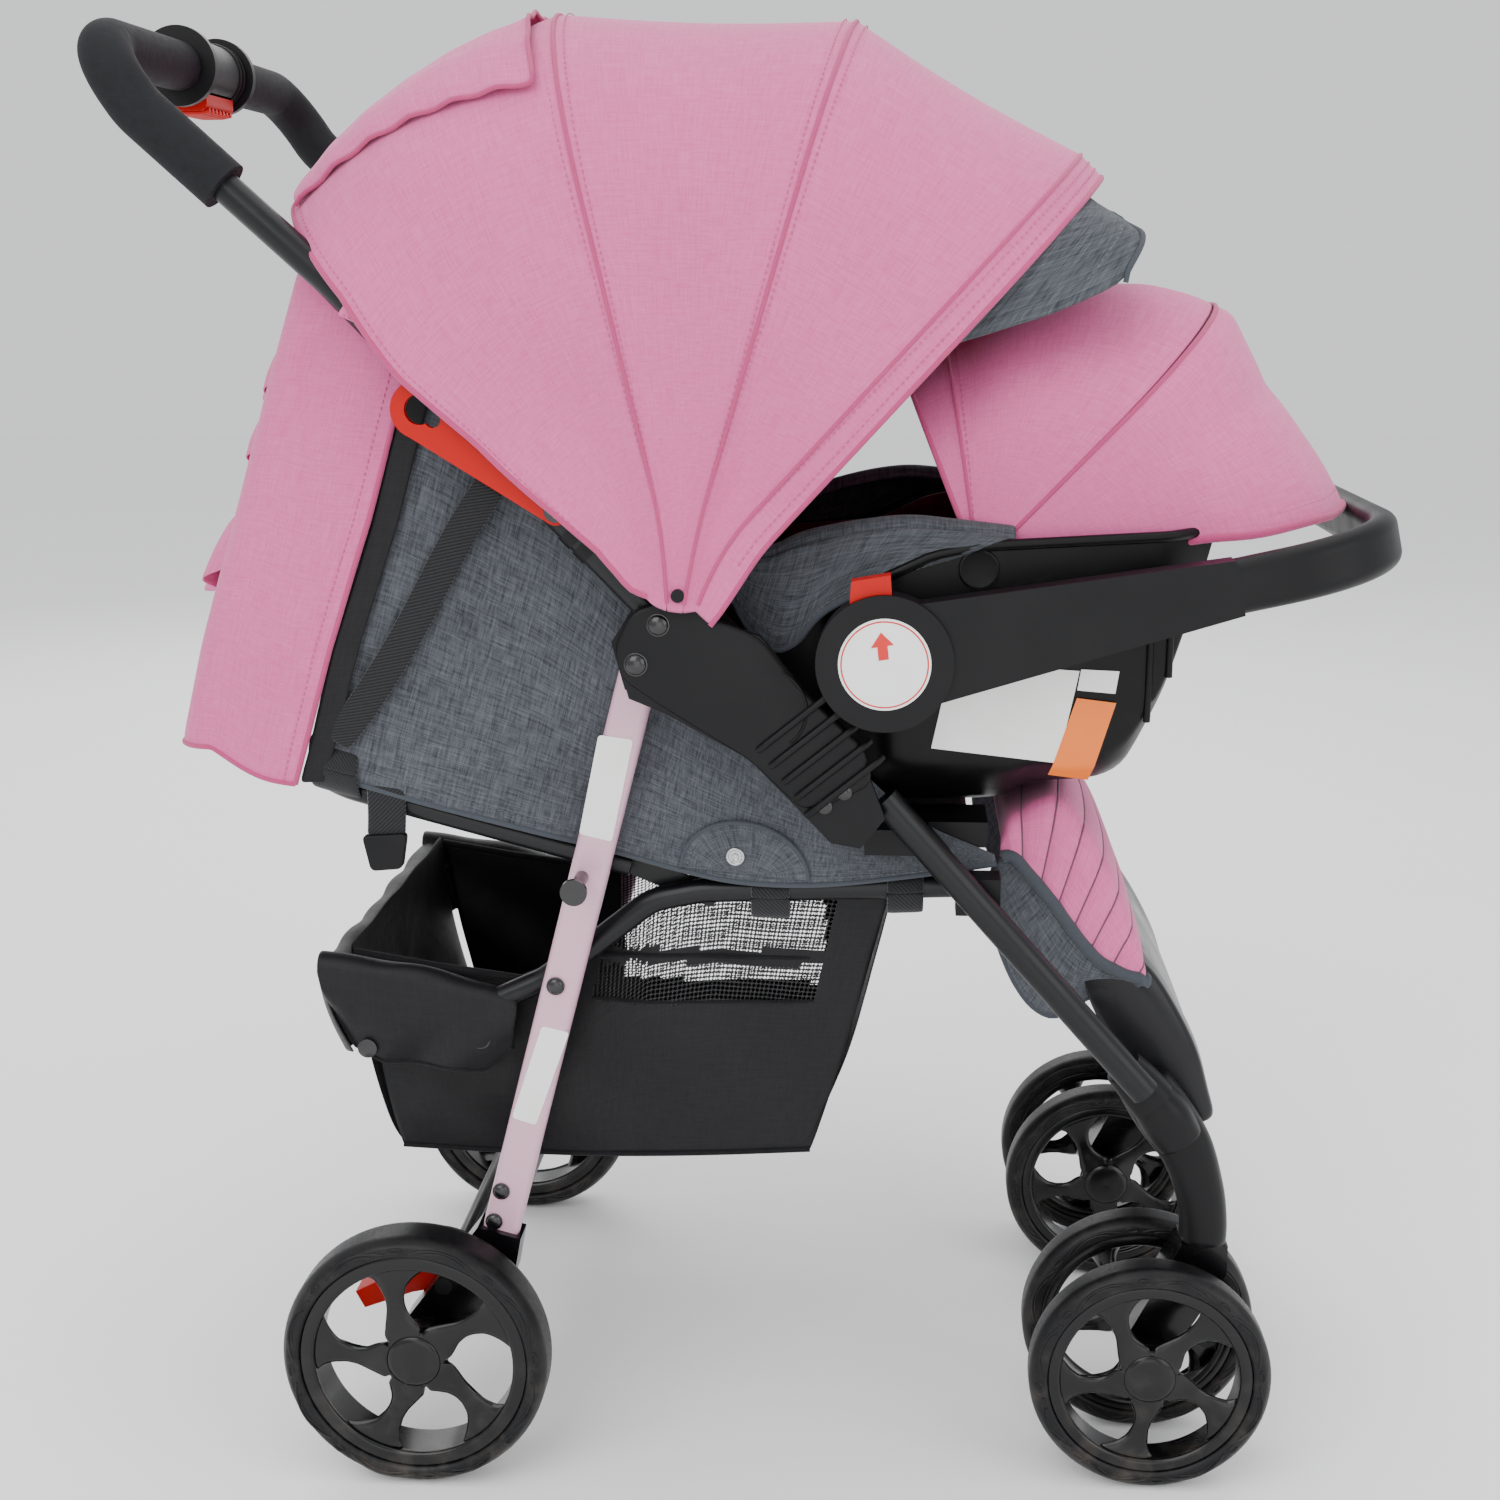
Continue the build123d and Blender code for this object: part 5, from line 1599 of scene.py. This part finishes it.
def build_straps():
    """Recline straps with their loops, tails and buckles, and the wraps round the frame tube."""
    for side, tag in both_sides:
        run = [pt(-172, side * 172, 662), pt(-196, side * 163.8, 628), pt(-232, side * 162.6, 565),
               pt(-262, side * 163.2, 520), pt(-281, side * 163.5, 497)]
        strap_piece(f"recline_strap_{tag}", run, (0.83, 0, -0.55), 0.021, 0.0016, 40, "frame")
        turns = [math.tau * i / 40 for i in range(41)]
        loop = [pt(-283, side * (151.5 + 11.8 * math.cos(a)), 478 + 17 * math.sin(a)) for a in turns]
        strap_piece(f"strap_loop_{tag}", loop, (0.95, 0, -0.26), 0.034, 0.0018, 40, "seat_back")
        tail = [pt(-251, side * 157, 476), pt(-250, side * 159, 462), pt(-250, side * 159.5, 448),
                pt(-251, side * 159, 434)]
        strap_piece(f"strap_tail_{tag}", tail, (1, 0, 0), 0.026, 0.0018, 20, "seat_back")
        low, high = sorted((side * 155.5, side * 162.5))
        buckle = slab(f"strap_buckle_{tag}", round_outline([(-267, 434), (-237, 436), (-241, 412), (-262, 410)], 4),
                      low, high, 0.0012)
        finish(buckle, "seat_back", plastic, "black_plastic", angle=40)
    for side, tag in both_sides:
        turns = [math.tau * i / 36 for i in range(37)]
        for k, (x, z, wide, lean) in enumerate(((-1, 395, 0.026, 0.0), (86, 400, 0.024, 0.05))):
            wrap = [pt(x + 0.3 * math.cos(a), side * (149 + 9.4 * math.cos(a)),
                       z + (10.4 if math.sin(a) > 0 else 15) * math.sin(a)) for a in turns]
            strap_piece(f"frame_wrap_{tag}_{k}", wrap, (1, 0, lean), wide, 0.0016, 36, "frame")


# ---- infant carrier ------------------------------------------------------------------------
shell_line = [(-204, 618), (-192, 580), (-150, 532), (-80, 484), (-10, 459), (60, 447), (140, 449), (164, 464),
              (198, 468), (211, 472), (224, 486), (245, 535), (262, 590), (274, 636)]


def shell_half(z, x):
    """Half width of the tub at a height; the flanks under the handle hubs are wider."""
    base = table([(447, 112), (470, 132), (520, 144), (640, 147)], z)
    flank = table([(30, 0), (78, 1), (236, 1), (272, 0.35)], x)
    wide = table([(447, 120), (462, 150), (490, 176), (540, 185.5), (640, 187)], z)
    flank = flank * flank * (3 - 2 * flank)
    return base + (wide - base) * flank


def rim_height(x):
    """Height of the carrier's rim."""
    return table([(-206, 622), (-150, 608), (-60, 600), (0, 600), (64, 605), (100, 622), (130, 628), (275, 636)], x)


def build_carrier_shell():
    """Moulded tub: one lofted skin from rim to rim under the seat."""
    bottom = side_line(shell_line, 90)

    def place(u, v):
        p = spot_on(bottom, u)
        side = (v - 0.5) * 2
        s = abs(side)
        top = rim_height(p.x)
        if s < 0.42:
            t = s / 0.42
            z = p.z + 5 * t ** 4
            y = shell_half(p.z + 2, p.x) * 0.86 * t
        else:
            t = (s - 0.42) / 0.58
            z = p.z + 5 + (top - p.z - 5) * t
            y = shell_half(z, p.x) * (0.86 + 0.14 * min(1, t / 0.16) ** 0.6)
        return pt(p.x, math.copysign(y, side), z)
    o = grid("carrier_shell_visual", 110, 90, place)
    spread_map(o, 0.7, 0.6)
    face_away(o, pt(40, 0, 620))
    modify(o, "SOLIDIFY", thickness=0.004, offset=-1)
    rim_run = edge_run(place, 90, v=0) + edge_run(place, 40, u=1)[1:]
    rim_run += edge_run(place, 90, v=1)[-2::-1] + edge_run(place, 40, u=0)[-2:0:-1]
    lip = cord_line("carrier_shell_lip", rim_run, 0.0034, closed=True)
    parts = [o, lip]
    for side, _ in both_sides:
        parts.append(disc("carrier_boss", pt(carrier_hub[0], side * 198, carrier_hub[1]), 0.027, 0.0235, bevel=0.002))
        parts.append(disc("carrier_hood_boss", pt(hood_pivot[0], side * 171, hood_pivot[1]), 0.0125, 0.036,
                          bevel=0.002, inset=0.003, sink=0.0012))
    for side, _ in both_sides:
        for x, z_low, z_high in ((232, 520, 592), (244, 548, 600)):
            run = [flank_spot(x, z, side, 0.4) for z in range(z_low, z_high, 12)]
            parts.append(cord_line("carrier_rib", run, 0.0022, sides=2))
    whole = joined("carrier_shell_visual", *parts)
    finish(whole, "carrier", shell_black, "shell_plastic", angle=50, stands_for=("carrier_shell",))
    for name, outline, material, lift in (
            ("label_large", [(112, 557), (190, 552), (179, 492), (101, 501)], label_white, 0.9),
            ("label_small", [(191, 553), (214, 552), (212, 538), (189, 540)], label_white, 0.9),
            ("label_tall", [(189, 535), (213, 532), (199, 479), (174, 483)], label_orange, 1.0)):
        a, b, c, d = (Vector(q) for q in outline)

        def stick(u, v):
            p = a.lerp(b, u).lerp(d.lerp(c, u), v)
            return flank_spot(p.x, p.y, -1, lift)
        label = grid(f"carrier_{name}_right", 16, 14, stick)
        modify(label, "SOLIDIFY", thickness=0.0003, offset=0)
        finish(outward(label), "carrier", material, "white_label", angle=40)


def flank_spot(x, z, side, lift):
    """Spot a little off the shell's flank."""
    return pt(x, side * (shell_half(z, x) + lift), z)


def build_carrier_liner():
    """Padded lining rolled over the rim, with the lobe ahead of the near hub."""
    bottom = side_line([(x, z + 15) for x, z in shell_line[1:-1]], 90)

    def inside(u, v):
        p = spot_on(bottom, u)
        side = (v - 0.5) * 2
        s = abs(side)
        top = rim_height(p.x) + 4
        half = shell_half(p.z, p.x)
        puffing = 3.0 * math.sin(s * 9) * math.sin(u * 22)
        if s < 0.42:
            t = s / 0.42
            return pt(p.x, math.copysign(0.78 * min(half, 140) * t, side), p.z + 4 + 4 * t ** 3 + puffing)
        t = (s - 0.42) / 0.58
        z = p.z + 8 + (top - p.z - 8) * t
        y = min(shell_half(z, p.x), 148) * (0.80 + 0.10 * min(1, t / 0.2)) + puffing * 0.4
        return pt(p.x, math.copysign(y, side), z)
    lining = grid("carrier_lining_pad", 100, 70, inside)
    spread_map(lining, 0.7, 0.6)
    modify(lining, "SOLIDIFY", thickness=0.007, offset=1)
    outward(lining)
    modify(lining, "SMOOTH", factor=0.5, iterations=2)
    finish(lining, "carrier", burgundy, "burgundy_cloth", stands_for=("carrier_liner",))

    top_line = side_line([(-196, 628), (-120, 616), (-40, 614), (-2, 618), (20, 628), (52, 636), (84, 640),
                          (112, 638), (150, 634)], 60)
    low_line = side_line([(-198, 610), (-120, 596), (-40, 598), (-26, 592), (-14, 574), (0, 561), (16, 565),
                          (40, 590), (110, 620)], 60)
    for side, tag in both_sides:
        def edge(u, w):
            a, b = spot_on(top_line, u), spot_on(low_line, u)
            out = table([(-200, 149), (-60, 151), (-20, 153), (0, 160), (60, 178), (150, 184)], a.x)
            if w < 0.35:
                t = w / 0.35
                y = out - 22 + 22 * math.sin(t * math.pi / 2)
                z = a.z - 10 + 10 * math.sin(math.pi * min(1, 0.2 + t * 0.8)) + (4 if t > 0.2 else 0)
                return pt(a.x, side * y, z)
            t = (w - 0.35) / 0.65
            p = a.lerp(b, t)
            bulge = 3.5 * math.sin(math.pi * t) + 0.8 * math.sin(u * 25 + t * 6)
            return pt(p.x, side * (out + bulge + 1.5), p.z)
        size = (0.38, 0.11)
        flap, area = cloth(f"carrier_edge_cloth_{tag}", 70, 24, edge, size, 0.0022)
        finish(flap, "carrier", grey, "grey_cloth")
        hem = trim(f"carrier_edge_piping_{tag}", edge_run(edge, 80, v=1), 0.0019, "carrier", grey_edge, "grey_cloth")
        run = [p + Vector((0, side * 0.0014, 0)) for p in edge_run(edge, 80, v=0.9)[2:79]]
        thread = stitches(f"carrier_edge_thread_{tag}", run, thread_grey, "carrier", slot="grey_cloth")
        declare(flap, area, size)


def build_carry_handle_trim():
    """Round label with a plain ring and arrow on each hub of the carry handle."""
    arrow_line = [(68.5, 566), (74.5, 567), (73.6, 575), (77.4, 575.6), (69.6, 583), (63.8, 573.5), (67.6, 574.1)]
    for side, tag in both_sides:
        y = side * 232.0
        for name, lift, radius, depth, material in (("ring", 0.25, 0.0262, 0.0008, label_red),
                                                    ("edge", 0.1, 0.0275, 0.0009, label_white),
                                                    ("face", 0.42, 0.0252, 0.0008, label_white)):
            layer = disc(f"hub_label_{name}_{tag}", pt(carrier_hub[0], y + side * lift, carrier_hub[1]), radius, depth,
                         sides=64, bevel=0.0002)
            finish(layer, "bail", material, "white_label", angle=40)
        low, high = sorted((y + side * 0.85, y + side * 1.15))
        arrow = slab(f"hub_arrow_{tag}", arrow_line, low, high, 0)
        finish(arrow, "bail", label_red, "white_label", angle=40)


# ---- frame trim ----------------------------------------------------------------------------
def build_frame_trim():
    """Rivets, seam lines, ribs and labels on the hard parts."""
    rivets = [("frame", "housing", 207.0, -65, 582, 6.4, 3.4), ("frame", "housing", 207.0, -79, 557.6, 6.6, 3.4),
              ("frame", "housing", 207.0, -52, 601, 6.0, 3.4), ("frame", "socket", 207.0, 36, 470, 4.2, 1.8),
              ("frame", "socket", 207.0, 48, 479, 4.2, 1.8), ("rear_frame", "leg", 174.6, -140, 338, 5.4, 2.6),
              ("rear_frame", "leg", 174.6, -180.9, 192.1, 5.2, 2.6),
              ("rear_frame", "leg", 174.6, -186.5, 170, 5.2, 2.6)]
    for side, tag in both_sides:
        count = {}
        for body, kind, y, x, z, radius, rise in rivets:
            k = count[kind] = count.get(kind, -1) + 1
            rivet = dome(f"{kind}_rivet_{k}_{tag[0]}", pt(x, side * y, z), radius / 1000, rise / 1000)
            finish(rivet, body, dark_steel, "rivet_steel", angle=60)
    for side, tag in both_sides:
        ribs = []
        for k in range(5):
            a = Vector((-3 + 31 * k / 4, 0, 506 - 40 * k / 4))
            b = a + Vector((40, 0, 33))
            run = [pt(*(end + Vector((dx, side * y, dz)))) for end, dx, y, dz in
                   ((a, -3, 204, -2), (a, 2, 207.6, 2), (b, -2, 207.6, -2), (b, 3, 204, 2))]
            ribs.append(cord_line("sleeve_rib", run, 0.0024, sides=2, steps=12))
        band = joined(f"housing_sleeve_ribs_{tag}", *ribs)
        finish(band, "frame", plastic, "black_plastic", angle=60)
        run = [pt(-2 + 27 * math.cos(a / 10), side * 207.1, 530 + 26 * math.sin(a / 10)) for a in range(-9, 12)]
        trim(f"housing_seam_{tag}", run, 0.0009, "frame", plastic, "black_plastic", 60)
    for k, outline in enumerate(([(-108, 506), (-86, 503), (-101, 436), (-122, 441)],
                                 [(-150, 310), (-132, 306), (-156, 240), (-172, 245)])):
        label = slab(f"leg_label_right_{k}", round_outline(outline, 2.5, 3), -173.95, -173.6, 0)
        finish(label, "rear_frame", label_white, "white_label", angle=40)


def dome(name, centre, radius, rise):
    """Domed rivet head on a thin flange."""
    blank()
    bpy.ops.mesh.primitive_uv_sphere_add(segments=28, ring_count=14, radius=radius, location=centre)
    o = named(name)
    o.scale = (1, rise / radius, 1)
    settle(o)
    collar = disc(name + "_collar", centre, radius * 1.12, 0.0012, bevel=0.0003)
    return joined(name, o, collar)


def build_trigger_ribs():
    """Finger ribs under the red trigger, and the rings round the grip's hub."""
    parts = []
    for k in range(-3, 4):
        run = [pt(x, k * 7.2, z) for x, z in ((-410, 897.4), (-404, 896.2), (-390, 896.2), (-384, 897.4))]
        parts.append(cord_line("trigger_rib", run, 0.0017, sides=2))
    ribs = joined("fold_trigger_ribs", *parts)
    finish(ribs, "trigger", red, "red_plastic", angle=60)
    rings = []
    for y in (-33, -25, 25, 33):
        blank()
        bpy.ops.mesh.primitive_torus_add(location=pt(-397, y, 924), rotation=(math.pi / 2, 0, 0),
                                         major_radius=0.0202, minor_radius=0.0011, major_segments=64,
                                         minor_segments=8)
        rings.append(settle(named("grip_hub_ring")))
    band = joined("grip_hub_rings", *rings)
    finish(band, "handle", plastic, "gloss_black")


def build_footrest():
    """Glossy moulding: a crowned shell swept down the front, with a dished tread and side cheeks."""
    front = side_line([(204, 342), (216, 353), (232, 352), (247, 343), (263, 320), (280, 287), (289, 258),
                       (293, 242), (288, 238)], 60)
    back = side_line([(204, 336), (208, 322), (216, 306), (225, 296), (234, 286), (246, 272), (257, 258),
                      (268, 246), (276, 240)], 60)
    face_share = 0.74
    base = wrapped(front, back, 134, face_share, 4, 0.35)

    def part_way(share):
        return min(1.0, max(0.0, share))

    def place(u, v):
        y = abs(v - 0.5) * 2 / face_share
        dish = part_way((0.86 - y) / 0.14) * part_way((u - 0.22) / 0.12) * part_way((0.86 - u) / 0.12)
        return base(u, v) - Vector((0.0026, 0, 0.0018)) * dish
    o = grid("footrest_moulding", 70, 90, place)
    spread_map(o, 0.2, 0.33)
    face_away(o, pt(215, 0, 270))
    modify(o, "SOLIDIFY", thickness=0.003, offset=-1)
    modify(o, "SUBSURF", levels=1, render_levels=1)
    finish(o, "frame", gloss_grey, "gloss_black", angle=60, stands_for=("footrest",))


def tapered(name, stations, sides=28):
    """Closed moulding through stations of (x, z, half height, half width) around y = 0, ends domed."""
    line = side_line([(x, z) for x, z, _, _ in stations], 40)
    highs = side_line([(i * 10, a) for i, (_, _, a, _) in enumerate(stations)], 40)
    wides = side_line([(i * 10, b) for i, (_, _, _, b) in enumerate(stations)], 40)

    def place(u, v):
        i = round(u * 40)
        p = line[i]
        ahead = (line[min(40, i + 1)] - line[max(0, i - 1)]).normalized()
        up = Vector((-ahead.z, 0, ahead.x))
        a = v * math.tau
        c, d = math.cos(a), math.sin(a)
        close = min(1.0, math.sin(math.pi / 2 * min(1, min(u, 1 - u) / 0.05 + 0.001)))
        q = p + up * highs[i].z * close * math.copysign(abs(c) ** 0.75, c)
        return pt(q.x, wides[i].z * close * math.copysign(abs(d) ** 0.75, d), q.z)
    return outward(grid(name, 40, sides, place))


def build_caster_mouldings():
    """Smooth arm from the end of each front leg to its upright swivel bearing, with a collar round the tube."""
    lengths = (("arm", 0.152, [(240, 275, 17, 17), (256, 252, 19, 18), (272, 228, 18, 18), (282, 200, 16.5, 17.5),
                               (286, 176, 15.5, 17), (286, 157, 15, 17)]),
               ("collar", 0.1735, [(226, 292, 12.5, 13), (236, 281, 14.5, 14.5), (248, 267, 15.5, 15.5)]),
               ("bridge", 0.163, [(238, 278, 11, 17), (256, 254, 17, 20), (268, 236, 15, 17)]))
    parts = []
    for side, _ in both_sides:
        for name, y, stations in lengths:
            o = tapered(f"caster_{name}", stations)
            o.data.transform(Matrix.Translation((0, side * y, 0)))
            parts.append(o)
    whole = joined("caster_socket_mouldings", *parts)
    finish(whole, "frame", plastic, "gloss_black", angle=70, stands_for=("caster_sockets",))


def build_housing_covers():
    """Rounded outer cover of each side housing."""
    outline = [(-52, 601), (-41, 598), (-38, 589), (-3.4, 575), (21, 545), (60, 507), (66, 484), (34, 468), (21, 468),
               (-10, 498), (-62, 530), (-88, 548), (-93, 566), (-82, 590)]
    for side, tag in both_sides:
        low, high = sorted((side * 199.5, side * 207.0))
        cover = slab(f"housing_cover_{tag}", round_outline(outline, 9, 5), low, high, 0.003, 4)
        finish(cover, "frame", plastic, "black_plastic", angle=35)


# ---- finishes for the hard parts ------------------------------------------------------------
def dress_nodes():
    """Material of each hard part that is shown as it is."""
    finishes = {
        tube_paint: ["front_legs", "footrest_bar", "seat_frame_tube", "handle_tube", "backrest_tube", "rear_crossbar",
                     "brake_bar"],
        foam: ["foam_grip_right", "foam_grip_left"],
        gloss: ["caster_fork_right", "caster_fork_left", "axle_brackets"],
        plastic: ["junction_housings", "handle_grip_hub", "caster_sockets", "seat_brackets", "carrier_cradles",
                  "tube_clips", "canopy_bow_rear", "canopy_bow_mid", "canopy_bow_front", "carry_handle"],
        red: ["fold_trigger", "storage_latch", "brake_pedals", "handle_buttons"],
        dark_steel: ["frame_rivets", "leg_rivets", "latch_rivet", "leg_stud", "recline_pins"],
        leg_paint: ["rear_legs"],
    }
    for material, names in finishes.items():
        for name in names:
            o = nodes[name]
            for slot in o.material_slots:
                slot.material = material
            if not o.material_slots:
                o.data.materials.append(material)


# ---- build ---------------------------------------------------------------------------------
set_camera()
set_studio()
dress_nodes()
build_canopy()
build_visor()
build_window_flap()
build_hook_patch()
build_hood()
build_head_wall()
build_side_panels()
build_basket()
build_pads()
build_leg_rest()
build_wheels()
build_straps()
build_carrier_shell()
build_carrier_liner()
build_carry_handle_trim()
build_frame_trim()
build_trigger_ribs()
build_footrest()
build_caster_mouldings()
build_housing_covers()
blank()
